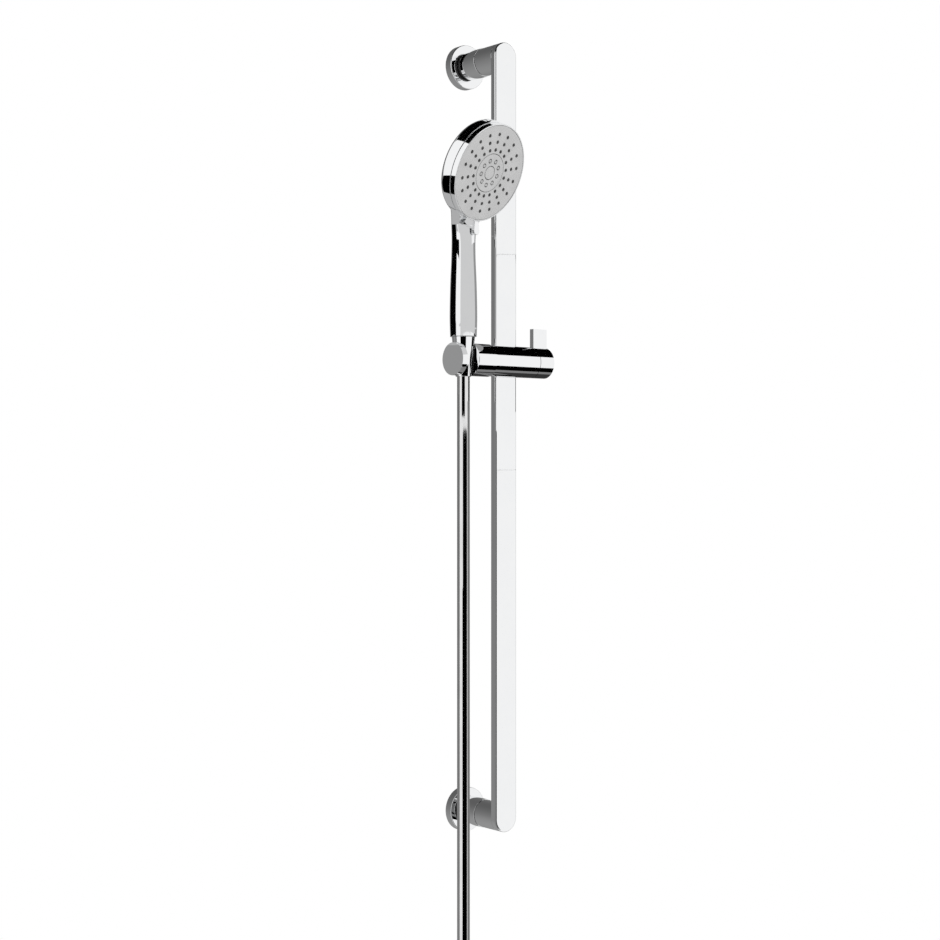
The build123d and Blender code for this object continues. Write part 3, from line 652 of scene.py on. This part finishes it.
class Shade:
    """A socket in a node tree that takes part in expressions."""

    def __init__(self, tree, socket):
        self.tree = tree
        self.socket = socket

    def also(self, name):
        """Another output of the same node."""
        return Shade(self.tree, self.socket.node.outputs[name])

    def maths(self, operation, first, second=0.0):
        node = self.tree.nodes.new("ShaderNodeMath")
        node.operation = operation
        plug(self.tree, node.inputs[0], first)
        plug(self.tree, node.inputs[1], second)
        return Shade(self.tree, node.outputs[0])

    def __add__(self, other):
        return self.maths("ADD", self, other)

    __radd__ = __add__

    def __mul__(self, other):
        return self.maths("MULTIPLY", self, other)

    __rmul__ = __mul__

    def __sub__(self, other):
        return self.maths("SUBTRACT", self, other)

    def __rsub__(self, other):
        return self.maths("SUBTRACT", other, self)

    def __truediv__(self, other):
        return self.maths("DIVIDE", self, other)

    def __rtruediv__(self, other):
        return self.maths("DIVIDE", other, self)


def plug(tree, socket, value):
    """Link an expression to a socket, or write a plain value in it."""
    if isinstance(value, Shade):
        tree.links.new(value.socket, socket)
    else:
        socket.default_value = value


class Finish:
    """The node tree of one material or world."""

    def __init__(self, owner):
        owner.use_nodes = True
        self.tree = owner.node_tree
        self.tree.nodes.clear()

    def node(self, kind, settings=None, output=0, **values):
        """Make a node: first its settings, then its inputs, by name with _ for a space, or by n and a number."""
        node = self.tree.nodes.new(kind)
        for key, value in (settings or {}).items():
            setattr(node, key, value)
        for key, value in values.items():
            name = key.replace("_", " ")
            socket = node.inputs[int(key[1:])] if key[0] == "n" and key[1:].isdigit() else node.inputs[name]
            plug(self.tree, socket, value)
        return Shade(self.tree, node.outputs[output])

    def blend(self, mask, first, second):
        """A colour between two colours."""
        node = self.tree.nodes.new("ShaderNodeMix")
        node.data_type = "RGBA"
        plug(self.tree, node.inputs[0], mask)
        plug(self.tree, node.inputs[6], first)
        plug(self.tree, node.inputs[7], second)
        return Shade(self.tree, node.outputs[2])

    def step(self, value, low, high):
        """0 below low, 1 above high, and a smooth rise between."""
        return self.node("ShaderNodeMapRange", {"interpolation_type": "SMOOTHSTEP"},
                         Value=value, From_Min=low, From_Max=high)

    def object_point(self):
        return self.node("ShaderNodeTexCoord", output=3)

    def noise(self, size, detail=2.0):
        """Noise whose patches are about size metres across."""
        return self.node("ShaderNodeTexNoise", Vector=self.object_point(), Scale=1 / size, Detail=detail)

    def bump(self, height, strength, distance):
        return self.node("ShaderNodeBump", Height=height, Strength=strength, Distance=distance)

    def output(self, shader, kind="ShaderNodeOutputMaterial"):
        out = self.tree.nodes.new(kind)
        self.tree.links.new(shader.socket, out.inputs[0])

    def surface(self, **values):
        self.output(self.node("ShaderNodeBsdfPrincipled", **values))


def grey(value):
    return (value, value, value, 1.0)


print("shader helpers ready")

# %% [markdown]
# Polished chrome is almost a mirror. What keeps it from looking like a computer's mirror is a very slight
# change of roughness, from wiping and from water, so its roughness follows two sizes of soft noise.
# %% Polished chrome
WIPED_PATCH = 0.035     # metres
WIPED_SHARE = 0.6
SPOT_PATCH = 0.006
TONE_LOW = 0.35
TONE_HIGH = 0.65
DULLED = (0.985, 0.987, 0.99, 1)


def polished_chrome(name, colour, roughness, smear):
    """A mirror that is rougher, by up to smear, and a trace duller where it was wiped."""
    material = bpy.data.materials.new(name)
    finish = Finish(material)
    wiped = finish.noise(WIPED_PATCH) * WIPED_SHARE + finish.noise(SPOT_PATCH) * (1 - WIPED_SHARE)
    dull = tuple(part * share for part, share in zip(colour, DULLED))
    tone = finish.blend(finish.step(wiped, TONE_LOW, TONE_HIGH), colour, dull)
    finish.surface(Base_Color=tone, Metallic=1.0, Roughness=wiped * smear + roughness)
    return material


CHROME = polished_chrome("polished_chrome", (0.90, 0.905, 0.91, 1), 0.012, 0.03)
PLATED = polished_chrome("plated_plastic", (0.89, 0.895, 0.90, 1), 0.02, 0.04)
for piece in chrome_pieces:
    paint(piece, CHROME)
for piece in chrome_plastic:
    paint(piece, PLATED)
print("chrome on", len(chrome_pieces) + len(chrome_plastic), "pieces")

# %% [markdown]
# The spray face is a satin silver-grey plastic with a fine sparkle from the moulding, the nozzles are darker
# silicone, and the hidden parts have plain dark or pale plastic, brass, steel and rubber.
# %% Plastics, rubber and plain metals
CLOUD_PATCH = 0.02
CLOUD_ROUGHNESS = 0.1
GRAIN_STRENGTH = 0.25


def moulded(name, dark, light, roughness, grain, grain_height=0.00002, metallic=0.0):
    """A moulded or turned finish: a colour between two others, and a fine grain in colour and surface."""
    material = bpy.data.materials.new(name)
    finish = Finish(material)
    cloud = finish.noise(CLOUD_PATCH)
    speck = finish.noise(grain, detail=3.0)
    tone = finish.blend(finish.step(cloud * 0.5 + speck * 0.5, TONE_LOW, TONE_HIGH), dark, light)
    finish.surface(
        Base_Color=tone, Metallic=metallic, Roughness=cloud * CLOUD_ROUGHNESS + roughness,
        Normal=finish.bump(speck, GRAIN_STRENGTH, grain_height),
    )
    return material


def dress(body, rows):
    """Paint pieces and put them on a body."""
    for piece, material, slot in rows:
        paint(piece, material)
        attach(piece, body)


FACE_PLASTIC = moulded("face_plastic", grey(0.56), grey(0.62), 0.42, 0.0006)
NOZZLE_RUBBER = moulded("nozzle_rubber", grey(0.05), grey(0.075), 0.5, 0.0008)
DARK_PLASTIC = moulded("liner_plastic", grey(0.018), grey(0.026), 0.4, 0.0008)
PALE_PLASTIC = moulded("pale_plastic", grey(0.52), grey(0.6), 0.4, 0.0008)
BLACK_RUBBER = moulded("seal_rubber", grey(0.012), grey(0.02), 0.55, 0.0006)
STRAP = moulded("tie_strap", grey(0.03), grey(0.045), 0.6, 0.0009, 0.0001)
STEEL = moulded("hidden_steel", grey(0.5), grey(0.58), 0.26, 0.0004, metallic=1.0)
BRASS = moulded("spindle_brass", (0.6, 0.45, 0.2, 1), (0.68, 0.52, 0.26, 1), 0.22, 0.0004, metallic=1.0)
print("made", len(bpy.data.materials), "materials")

# %% [markdown]
# A black ring of painted shade lies in the groove between cup and collar, a little smaller across than both, so
# that the groove stays dark whatever the chrome mirrors. It is low round the neck, with a shoulder at the
# collar.
# %% Black rings of painted shade in the grooves of the posts
POST_SHADE_RADIUS = 15.4
POST_SHADE_EDGE = 0.2
post_shade_inner = NECK_RADIUS - 0.5
post_shade_low = NECK_RADIUS + 0.6
post_shade_back = FLANGE_DEPTH + 0.1
post_shade_shoulder = NECK_FRONT - 2.4
post_shade_front = NECK_FRONT - 0.1
post_shade_outline = [
    (post_shade_inner, post_shade_back), (post_shade_low, post_shade_back), (post_shade_low, post_shade_shoulder),
    (POST_SHADE_RADIUS, post_shade_shoulder), (POST_SHADE_RADIUS, post_shade_front), (post_shade_inner, post_shade_front),
]
for side, wall_side in post_places.items():
    # Each black ring is a dark piece that paints the groove's shade.
    painted_post_shade = lathe(f"spacer_{side}", post_shade_outline, wall_side)
    soften(painted_post_shade, POST_SHADE_EDGE)
    dress("wall_rail", [(painted_post_shade, DARK_PLASTIC, "liner_plastic")])
print("two spacers, radius", POST_SHADE_RADIUS)

# %% [markdown]
# The face is a thin satin disc, set back a little inside the ring. Its holes are cut with the tree above, and
# the same tree sets a nozzle in each of them, a little smaller, so that a dark gap shows round it.
# %% Spray face with its nozzles
FACE_RADIUS = 52.4
FACE_THICKNESS = 2.6
FACE_RECESS = 0.4
INSERT_RADIUS = 21.2
INSERT_GROOVE = 0.7
NOZZLE_RADIUS = 1.5
NOZZLE_GAP = 0.45
NOZZLE_STAND = 0.9
NOZZLE_ROOT = 0.2
NOZZLE_MOUTH = 0.5
NOZZLE_BORE = 0.42
HOLE_REACH = 6
MAT_RADIUS = 46.7
MAT_THICKNESS = 1.6
MAT_UNDER_INSERT = 2
FACE_EDGE = 0.18
SHARP_ANGLE = 30
face_back = FACE_RECESS + FACE_THICKNESS
insert_hole = INSERT_RADIUS + INSERT_GROOVE / 2
face_plate = lathe("spray_face_plate", washer(insert_hole, FACE_RADIUS, face_back, FACE_RECESS), behind_face)
flat = place((0, 0, 0), UP, RIGHT)
in_recess = behind_face @ Matrix.Translation((0, 0, FACE_RECESS * MM))
nozzle_rows = (SPOKES, ROWS, FIRST_ROW, ROW_STEP, START_ANGLE)
hole = lathe("hole", washer(0, NOZZLE_RADIUS + NOZZLE_GAP, -HOLE_REACH, HOLE_REACH), flat, steps=24)
holes = on_spokes("holes", hole, nozzle_rows, FACE_PLASTIC, behind_face)
combine(face_plate, holes, "DIFFERENCE")
soften(face_plate, FACE_EDGE, segments=2)
nozzle_back = FACE_THICKNESS + NOZZLE_ROOT
nozzle_outline = [
    (0, nozzle_back), (NOZZLE_RADIUS, nozzle_back), (NOZZLE_RADIUS, NOZZLE_ROOT),
    (NOZZLE_RADIUS * 0.86, -NOZZLE_STAND * 0.6), (NOZZLE_RADIUS * 0.7, -NOZZLE_STAND),
    (NOZZLE_MOUTH, -NOZZLE_STAND), (NOZZLE_BORE, -NOZZLE_STAND * 0.2), (0, -NOZZLE_STAND * 0.2),
]
nozzle = lathe("nozzle", nozzle_outline, flat, steps=20)
nozzles = on_spokes("nozzles", nozzle, nozzle_rows, NOZZLE_RUBBER, in_recess)
mat_outline = washer(INSERT_RADIUS - MAT_UNDER_INSERT, MAT_RADIUS, face_back + MAT_THICKNESS, face_back)
mat_sheet = lathe("mat_sheet", mat_outline, behind_face)
for piece in (nozzles, mat_sheet):
    piece.data.set_sharp_from_angle(angle=radians(SHARP_ANGLE))
dress("cradle", [(face_plate, FACE_PLASTIC, "face_plastic"), (nozzles, NOZZLE_RUBBER, "nozzle_rubber"),
                 (mat_sheet, NOZZLE_RUBBER, "nozzle_rubber")])
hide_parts("spray_face")
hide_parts("nozzle_mat")
print("face plate", len(face_plate.data.polygons), "faces,", SPOKES * ROWS, "nozzles")

# %% [markdown]
# The middle of the face is a round insert. Nine small mist cups stand round a plain raised button, each with a
# small round plug in it. A thin dark disc in each cup and a thin dark ring in the button's groove are painted
# shade, because a cut this shallow gets too much light to look as deep as the real one.
# %% Mist insert
CUPS = 9
CUP_RING = 13.5
CUP_RADIUS = 2.9
CUP_DEPTH = 0.9
BUTTON_RADIUS = 7.9
BUTTON_GROOVE = 0.9
CUP_START = 8.0
CUP_CUT_REACH = 3
CUP_FLOOR = 0.9         # the cup's floor and its disc of painted shade, as shares of its radius
CUP_SHADE_SHARE = 0.88
BUTTON_SHADE_PLAY = 0.05
BUTTON_SHADE_THICKNESS = 0.12
INSERT_EDGE = 0.15
insert_edge = INSERT_RADIUS - INSERT_GROOVE / 2
groove_inner = BUTTON_RADIUS - BUTTON_GROOVE
groove_floor = FACE_RECESS + CUP_DEPTH
insert_outline = [
    (0, face_back), (insert_edge, face_back), (insert_edge, FACE_RECESS), (BUTTON_RADIUS, FACE_RECESS),
    (BUTTON_RADIUS, groove_floor), (groove_inner, groove_floor), (groove_inner, FACE_RECESS),
    (BUTTON_RADIUS - 2.0, FACE_RECESS - 0.35), (0, FACE_RECESS - 0.45),
]
insert = lathe("mist_insert_disc", insert_outline, behind_face)
cup_ring = (CUPS, 1, CUP_RING, 0.0, CUP_START)
cup_outline = [(0, -CUP_CUT_REACH), (CUP_RADIUS, -CUP_CUT_REACH),
               (CUP_RADIUS * CUP_FLOOR, CUP_DEPTH), (0, CUP_DEPTH)]
cup = lathe("cup", cup_outline, flat, steps=28)
cups = on_spokes("cups", cup, cup_ring, FACE_PLASTIC, in_recess)
combine(insert, cups, "DIFFERENCE")
soften(insert, INSERT_EDGE, segments=2)
swirl_outline = [(0, CUP_DEPTH), (1.6, CUP_DEPTH), (1.5, 0.05), (1.0, 0.0), (0.8, 0.45), (0.4, 0.5), (0, 0.5)]
swirl = lathe("swirl", swirl_outline, flat, steps=20)
swirls = on_spokes("mist_swirls", swirl, cup_ring, FACE_PLASTIC, in_recess)
# Dark discs in the cups and a dark ring in the button's groove: painted shade.
cup_shade_outline = washer(0, CUP_RADIUS * CUP_SHADE_SHARE, CUP_DEPTH - 0.02, CUP_DEPTH - 0.1)
cup_shade_disc = lathe("cup_lining", cup_shade_outline, flat, steps=24)
cup_shade_discs = on_spokes("mist_linings", cup_shade_disc, cup_ring, NOZZLE_RUBBER, in_recess)
button_shade_outer = BUTTON_RADIUS - BUTTON_SHADE_PLAY
button_shade_inner = groove_inner + BUTTON_SHADE_PLAY
button_shade_top = groove_floor - BUTTON_SHADE_THICKNESS
button_lining = lathe(
    "button_lining",
    [(button_shade_outer, groove_floor), (button_shade_outer, button_shade_top),
     (button_shade_inner, button_shade_top), (button_shade_inner, groove_floor)],
    behind_face,
)
for piece in (swirls, button_lining, cup_shade_discs):
    piece.data.set_sharp_from_angle(angle=radians(SHARP_ANGLE))
dress("cradle", [(insert, FACE_PLASTIC, "face_plastic"), (swirls, FACE_PLASTIC, "face_plastic"),
                 (cup_shade_discs, NOZZLE_RUBBER, "nozzle_rubber"), (button_lining, NOZZLE_RUBBER, "nozzle_rubber")])
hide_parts("mist_insert")
print("mist insert with", CUPS, "cups")

# %% [markdown]
# The hose hangs straight from the cone. The length that the picture doesn't show is folded into a hank: up
# beside the first run, down again behind it, and into its nut. A simulation could hang it, but a NURBS spline
# keeps its length and its bends in hand, and the tube follows it.
# %% Route of the hose
HOSE_RADIUS = 7.0
HANK_TOP = -572.0
HANK_BOTTOM = -833.8
FOLD = 46.0
LAYER = 15.0            # how far the last run lies behind the first
HANG_START = 90         # from the cone down to the first control point of the straight hang
HANG_END = -520         # and the height of its last one
RUN_OUT = 60            # from a half turn to the nearest control point of a straight run
hose_top = SLIDER_HEIGHT + CONE_BOTTOM
low_turn = HANK_BOTTOM + HOSE_RADIUS + FOLD
high_turn = HANK_TOP - HOSE_RADIUS - FOLD
fold_x = SEAT_X - FOLD
fold_reach = FOLD / cos(radians(22.5))
hang_y = -AXIS_OUT


def fold_point(angle, y, height):
    """A control point of a half turn: a corner of the octagon whose sides touch its circle."""
    return (fold_x + fold_reach * cos(radians(angle)), y, height + fold_reach * sin(radians(angle)))


route = [(SEAT_X, hang_y, hose_top), (SEAT_X, hang_y, hose_top - HANG_START), (SEAT_X, hang_y, HANG_END),
         (SEAT_X, hang_y, low_turn + RUN_OUT)]
route += [fold_point(angle, hang_y, low_turn) for angle in (-22.5, -67.5, -112.5, -157.5)]
route += [(SEAT_X - 2 * FOLD, hang_y, low_turn + RUN_OUT), (SEAT_X - 2 * FOLD, hang_y, high_turn - RUN_OUT)]
route += [fold_point(angle, hang_y + LAYER * share, high_turn)
          for angle, share in ((157.5, 0.1), (112.5, 0.37), (67.5, 0.63), (22.5, 0.9))]
route += [(SEAT_X, hang_y + LAYER, high_turn - RUN_OUT), (SEAT_X, hang_y + LAYER, HANK_BOTTOM)]
curve = bpy.data.curves.new("hose_route", "CURVE")
curve.dimensions = "3D"
curve.resolution_u = 16
spline = curve.splines.new("NURBS")
spline.points.add(len(route) - 1)
for point, corner in zip(spline.points, route):
    point.co = (corner[0] * MM, corner[1] * MM, corner[2] * MM, 1.0)
spline.order_u = 3
spline.use_endpoint_u = True
route_object = bpy.data.objects.new("hose_route", curve)
scene.collection.objects.link(route_object)
line_mesh = bpy.data.meshes.new_from_object(route_object)
path = [vertex.co.copy() for vertex in line_mesh.vertices]
bpy.data.objects.remove(route_object)
length = sum((b - a).length for a, b in zip(path, path[1:]))
print("hose spline", round(length, 4), "m with", len(path), "points")

# %% [markdown]
# The tube is a plain skin of rings along that line, close together.
# %% Tube of the hose
HOSE_SIDES = 40
LONG_STEP = 0.006       # metres
HOSE_SHARP_ANGLE = 40
HOSE_PATCH = 0.03
HOSE_ROUGHNESS = 0.035
HOSE_SMEAR = 0.04
HOSE_COAT = 0.3


def evenly(points, step):
    """Points along a line of points, at most step apart."""
    dense = [points[0]]
    for a, b in zip(points, points[1:]):
        parts = max(1, int((b - a).length / step))
        dense += [a.lerp(b, k / parts) for k in range(1, parts + 1)]
    return dense


def tube(name, points, radius):
    """A smooth tube round a line of points, in metres, with closed ends."""
    side = Vector(RIGHT)
    vertices = []
    rings = []
    for k, point in enumerate(points):
        ahead = points[min(k + 1, len(points) - 1)] - points[max(k - 1, 0)]
        ahead.normalize()
        side = (side - ahead * side.dot(ahead)).normalized()
        other = ahead.cross(side)
        rings.append(list(range(len(vertices), len(vertices) + HOSE_SIDES)))
        for s in range(HOSE_SIDES):
            angle = 2 * pi * s / HOSE_SIDES
            vertices.append(point + side * (radius * cos(angle)) + other * (radius * sin(angle)))
    return piece_from(name, vertices, ring_faces(rings, closed=False) + [rings[0], rings[-1]])


hose = tube("hose_tube", evenly(path, LONG_STEP), HOSE_RADIUS * MM)
hose.data.set_sharp_from_angle(angle=radians(HOSE_SHARP_ANGLE))
hose_skin = bpy.data.materials.new("hose_silver")
finish = Finish(hose_skin)
worn = finish.noise(HOSE_PATCH)
finish.surface(
    Base_Color=finish.blend(finish.step(worn, 0.3, 0.7), grey(0.72), grey(0.78)), Metallic=1.0,
    Roughness=worn * HOSE_SMEAR + HOSE_ROUGHNESS, Coat_Weight=HOSE_COAT,
)
hose.data.materials.append(hose_skin)
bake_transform(hose)
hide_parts("hose", "hose_hank")
print("hose tube", len(hose.data.polygons), "faces")

# %% [markdown]
# The lower nut has a round collar and a hexagon, so it is a turned piece joined to a prism. The pieces inside
# the fitting are hardly seen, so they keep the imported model's shape and only get their finish.
# %% Pieces on the hose, and the CAD pieces that stay
NUT_COLLAR_RADIUS = 9.5
NUT_COLLAR_LENGTH = 10
NUT_FLATS = 24.0
NUT_LENGTH = 16.0
NUT_FLOOR = 2
NUT_BORE = 10.2
end_collar = place((SEAT_X, -AXIS_OUT + LAYER, HANK_BOTTOM), DOWN, RIGHT)
nut_place = place((SEAT_X, -AXIS_OUT + LAYER, HANK_BOTTOM - NUT_COLLAR_LENGTH), DOWN, RIGHT)
lower_nut = lathe("lower_nut_collar", washer(WATER_WAY, NUT_COLLAR_RADIUS, 0, NUT_COLLAR_LENGTH), end_collar)
nut_corner = NUT_FLATS / sqrt(3)
hexagon = [(nut_corner * cos(radians(60 * k + 30)), nut_corner * sin(radians(60 * k + 30))) for k in range(6)]
hex_nut = prism("lower_nut_hexagon", hexagon, NUT_LENGTH, nut_place)
nut_bore = lathe("nut_bore", washer(0, NUT_BORE, NUT_FLOOR, NUT_LENGTH + 1), nut_place)
combine(hex_nut, nut_bore, "DIFFERENCE")
combine(lower_nut, hex_nut, "UNION")
soften(lower_nut, TURNED_EDGE)
lower_nut.name = "lower_nut"
dress("slider", [(lower_nut, CHROME, "polished_chrome")])
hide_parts("hose_nut_lower")
plain = {
    STEEL: ("wall_plate_upper", "wall_plate_lower", "set_screw_upper", "set_screw_lower", "rail_screw_upper",
            "rail_screw_lower", "knob_screw", "pivot_pin"),
    DARK_PLASTIC: ("rail_liner", "brake_shoe", "knob_washer", "seat_liner", "pivot_washer"),
    BLACK_RUBBER: ("brake_pad", "inlet_seal", "end_seal"),
    PALE_PLASTIC: ("handset_inlet", "diverter_plate"),
    BRASS: ("knob_spindle",),
    STRAP: ("hose_tie",),
}
for material, names in plain.items():
    for name in names:
        paint(nodes[name], material)
print("plain finishes on", sum(len(names) for names in plain.values()), "CAD pieces")

# %% [markdown]
# Chrome shows the room and hardly any colour of its own, so the studio is part of the finish. As a product
# photographer does, it has a white room in front, a grey one behind the wall line, and black and white cards
# close to single pieces, which give each tube its hard dark and bright bands. Only mirrors see the cards.
# %% Floor and room
FLOOR_HEIGHT = -1.37
FLOOR_SIZE = 30.0
FRONT_WHITE = 0.98
BEHIND_GREY = 0.20
BEHIND_RISE = 0.13
SOFT_LIGHT = 0.92
WALL_BLUR = 0.04        # how softly the white front meets the grey rear
FLOOR_TONE = 0.86
FADE_START = 0.5        # metres from the object where the floor starts to fade into the backdrop
FADE_END = 0.95


def stage_sheet(name, corners, material):
    """A flat sheet of the studio, with its corners in metres, which is no part of the object."""
    mesh = bpy.data.meshes.new(name)
    mesh.from_pydata([Vector(corner) for corner in corners], [], [(0, 1, 2, 3)])
    sheet = bpy.data.objects.new(name, mesh)
    scene.collection.objects.link(sheet)
    mesh.materials.append(material)
    return sheet


pale_floor = bpy.data.materials.new("pale_floor")
finish = Finish(pale_floor)
camera_ray = finish.node("ShaderNodeLightPath")
mirror_ray = camera_ray.also("Is Glossy Ray")
spot = finish.node("ShaderNodeSeparateXYZ", Vector=finish.object_point())
spot_y = spot.also(1)
away = finish.node("ShaderNodeMath", {"operation": "SQRT"}, n0=spot * spot + spot_y * spot_y)
far_share = finish.step(away, FADE_START, FADE_END) * camera_ray
matte = finish.node("ShaderNodeBsdfDiffuse", Color=grey(FLOOR_TONE))
white = finish.node("ShaderNodeEmission", Color=grey(1.0), Strength=1.0)
seen_floor = finish.node("ShaderNodeMixShader", n0=far_share, n1=matte, n2=white)
drop = -FLOOR_HEIGHT
slant = finish.node("ShaderNodeMath", {"operation": "SQRT"}, n0=away * away + drop * drop)
behind_tone = BEHIND_GREY + BEHIND_RISE * (drop / slant)
in_front = 1.0 - finish.step(spot_y / away, -WALL_BLUR, WALL_BLUR)
mirror_tone = in_front * (FRONT_WHITE - behind_tone) + behind_tone
mirror_colour = finish.node("ShaderNodeCombineXYZ", X=mirror_tone, Y=mirror_tone, Z=mirror_tone)
mirrored = finish.node("ShaderNodeEmission", Color=mirror_colour, Strength=1.0)
finish.output(finish.node("ShaderNodeMixShader", n0=mirror_ray, n1=seen_floor, n2=mirrored))
half = FLOOR_SIZE / 2
stage_sheet("floor", [(-half, -half, FLOOR_HEIGHT), (half, -half, FLOOR_HEIGHT), (half, half, FLOOR_HEIGHT),
                      (-half, half, FLOOR_HEIGHT)], pale_floor)

world = bpy.data.worlds.new("studio")
scene.world = world
room = Finish(world)
direction = room.node("ShaderNodeTexCoord", output=0)
split = room.node("ShaderNodeSeparateXYZ", Vector=direction)
ahead = split.also(1)
upward = split.also(2)
seen = room.node("ShaderNodeLightPath")
glossy = seen.also("Is Glossy Ray")
front = 1.0 - room.step(ahead, -WALL_BLUR, WALL_BLUR)
behind_tone = BEHIND_GREY - upward * BEHIND_RISE
mirror_tone = front * (FRONT_WHITE - behind_tone) + behind_tone
tone = seen + (1.0 - seen) * (glossy * mirror_tone + (1.0 - glossy) * SOFT_LIGHT)
room.output(room.node("ShaderNodeBackground", Color=grey(1.0), Strength=tone), "ShaderNodeOutputWorld")
print("room ready")

# %% [markdown]
# A card shows in a mirror wherever the mirrored line of sight meets it, so each one was placed for one band of
# one piece: a black one gives a tube its dark stripe, a grey one the soft edge of that stripe. The rail is a
# flat mirror, and a card near it would show there too, so those cards stand edge-on to what its face reflects.
# %% Cards and lamps


def glow(name, tone):
    """A card's own light, as a share of full white."""
    material = bpy.data.materials.new(name)
    lit = Finish(material)
    lit.output(lit.node("ShaderNodeEmission", Color=grey(1.0), Strength=tone))
    return material


CARD_BLACK = glow("card_black", 0.0)
CARD_DARK = glow("card_dark", 0.035)
CARD_GREY = glow("card_grey", 0.22)
CARD_MID = glow("card_mid", 0.31)
CARD_SOFT = glow("card_soft", 0.46)
CARD_LIGHT = glow("card_light", 0.66)
CARD_WHITE = glow("card_white", 1.0)


def card(name, material, corners):
    """A card that only mirrors see, so that it neither blocks light nor shows in the picture."""
    sheet = stage_sheet(name, [[v * MM for v in corner] for corner in corners], material)
    for ray in ("camera", "diffuse", "shadow", "transmission", "volume_scatter"):
        setattr(sheet, f"visible_{ray}", False)


def upright_card(name, material, around, bearing, distance, half_angle, low, high):
    """An upright card seen from a point at a bearing, in degrees from straight out of the wall towards +X."""
    turn = radians(bearing)
    half = radians(half_angle)
    out = Vector((sin(turn), -cos(turn), 0))
    across = Vector((cos(turn), sin(turn), 0)) * (distance * sin(half) / cos(half))
    middle = Vector((around[0], around[1], 0)) + out * distance
    left = middle - across
    right = middle + across
    corners = [(left.x, left.y, low), (right.x, right.y, low), (right.x, right.y, high), (left.x, left.y, high)]
    card(name, material, corners)


def side_card(name, material, x, front, back, low, high):
    """An upright card that faces sideways, at one x."""
    card(name, material, [(x, front, low), (x, back, low), (x, back, high), (x, front, high)])


def along_rays(x, y, height):
    """A card's corner, set so high that the card's plane passes the camera mirrored in the rail's face."""
    lens = Vector(CAMERA_PLACE) / MM
    lens.y = -2 * rail_face - lens.y
    ahead = Vector((-lens.x, -rail_face - lens.y, 0))
    reach = ahead.length
    ahead.normalize()
    gone = ahead.dot(Vector((x, y + rail_face, 0)))
    return (x, y, height + (height - lens.z) * gone / reach)


def flat_card(name, material, left, right, front, back, height):
    """A card above or below the slider that the rail's face shows only as a hairline."""
    corners = ((left, front), (right, front), (right, back), (left, back))
    card(name, material, [along_rays(x, y, height) for x, y in corners])


CARD_FOOT = -1400       # low edge of the cards that reach the floor
SIDE_X = -35            # between the hand shower and the rail
hang_line = (SEAT_X, -AXIS_OUT)
post_side = (-COLLAR_RADIUS, -30)

# Around the hose, the cone and the handle: bearing, distance, half angle, low edge and high edge.
upright_card("card_hose_front", CARD_BLACK, hang_line, -10, 500, 40, CARD_FOOT, 20)
side_card("card_hose_side", CARD_GREY, SIDE_X, -125, -60, CARD_FOOT, 40)
upright_card("card_cone_front", CARD_BLACK, hang_line, -41, 260, 28, 30, 112)
upright_card("card_cone_side", CARD_BLACK, hang_line, 85, 400, 30, 40, 130)
upright_card("card_handle_back", CARD_BLACK, hang_line, -140, 60, 33, 112, 234)
upright_card("card_handle_front", CARD_LIGHT, hang_line, -31.5, 300, 43.5, 118, 275)

# The bright right half of the handle, its neck and the cradle's end.
card("card_handle_right", CARD_LIGHT,
     [(SIDE_X, -300, 118), (SIDE_X, -107, 113), (SIDE_X, -107, 215), (SIDE_X, -300, 215)])
side_card("card_handle_right_top", CARD_LIGHT, SIDE_X, -300, -130, 215, 252)
side_card("card_handle_side", CARD_MID, SIDE_X, -107, -60, 112, 215)
card("card_neck_front", CARD_LIGHT,
     [(-420, -480, 160), (-40, -480, 141), (-40, -95, 117.5), (-420, -95, 136.5)])
card("card_neck_left", CARD_SOFT, [(-500, -60, 120), (-100, -60, 112), (-100, 250, 112), (-500, 250, 120)])
card("card_cradle_end", CARD_MID, [(-224, 58, 55), (-190, 87, 55), (-190, 87, 130), (-224, 58, 130)])

# The stripes of the slider and the knob: left, right, front and back edge, and height.
flat_card("card_bar_above", CARD_BLACK, 27, 330, -250, 160, 205)
flat_card("card_neck_right", CARD_LIGHT, -10, 330, -250, -90, 205.4)
flat_card("card_neck_right_back", CARD_LIGHT, 27, 330, -90, 160, 205.4)
flat_card("card_bar_below", CARD_BLACK, 27, 330, -250, -130, -36.7)
flat_card("card_bar_below_middle", CARD_GREY, 27, 330, -130, -88, -36.7)
flat_card("card_bar_below_back", CARD_DARK, 27, 330, -88, 160, -36.7)

# The head's rim, the grey flare below it, and the dark half rings of the flanges.
card("card_head_left", CARD_WHITE, [(-450, -150, 150), (-450, 260, 150), (-220, 260, 780), (-220, -150, 780)])
card("card_head_above", CARD_BLACK, [(-275, -160, 560), (58, -160, 560), (58, 60, 560), (-275, 60, 560)])
card("card_head_low", CARD_BLACK, [(-215, -89, 215), (-130, -15, 215), (-130, -15, 265), (-215, -89, 265)])
card("card_flare", CARD_SOFT, [(-122, -110, 231.5), (-80, -110, 228), (-80, 20, 241.4), (-122, 20, 245)])
upright_card("card_lens_upper", CARD_BLACK, post_side, -33, 400, 22, 190, 780)
upright_card("card_lens_lower", CARD_BLACK, post_side, -33, 400, 22, -780, -190)
side_card("card_left", CARD_WHITE, -450, -150, 58, CARD_FOOT, 152)

LAMP_POWER = 9.0
LAMP_SIZE = 1.2
LAMP_PLACE = (-1.3, -1.9, 1.4)
LAMP_TARGET = (0, -0.08, 0)
lamp_data = bpy.data.lights.new("key", "AREA")
lamp_data.energy = LAMP_POWER
lamp_data.size = LAMP_SIZE
lamp = bpy.data.objects.new("key", lamp_data)
lamp.location = LAMP_PLACE
lamp.rotation_euler = (Vector(LAMP_TARGET) - Vector(LAMP_PLACE)).to_track_quat("-Z", "Y").to_euler()
lamp.visible_glossy = False
scene.collection.objects.link(lamp)
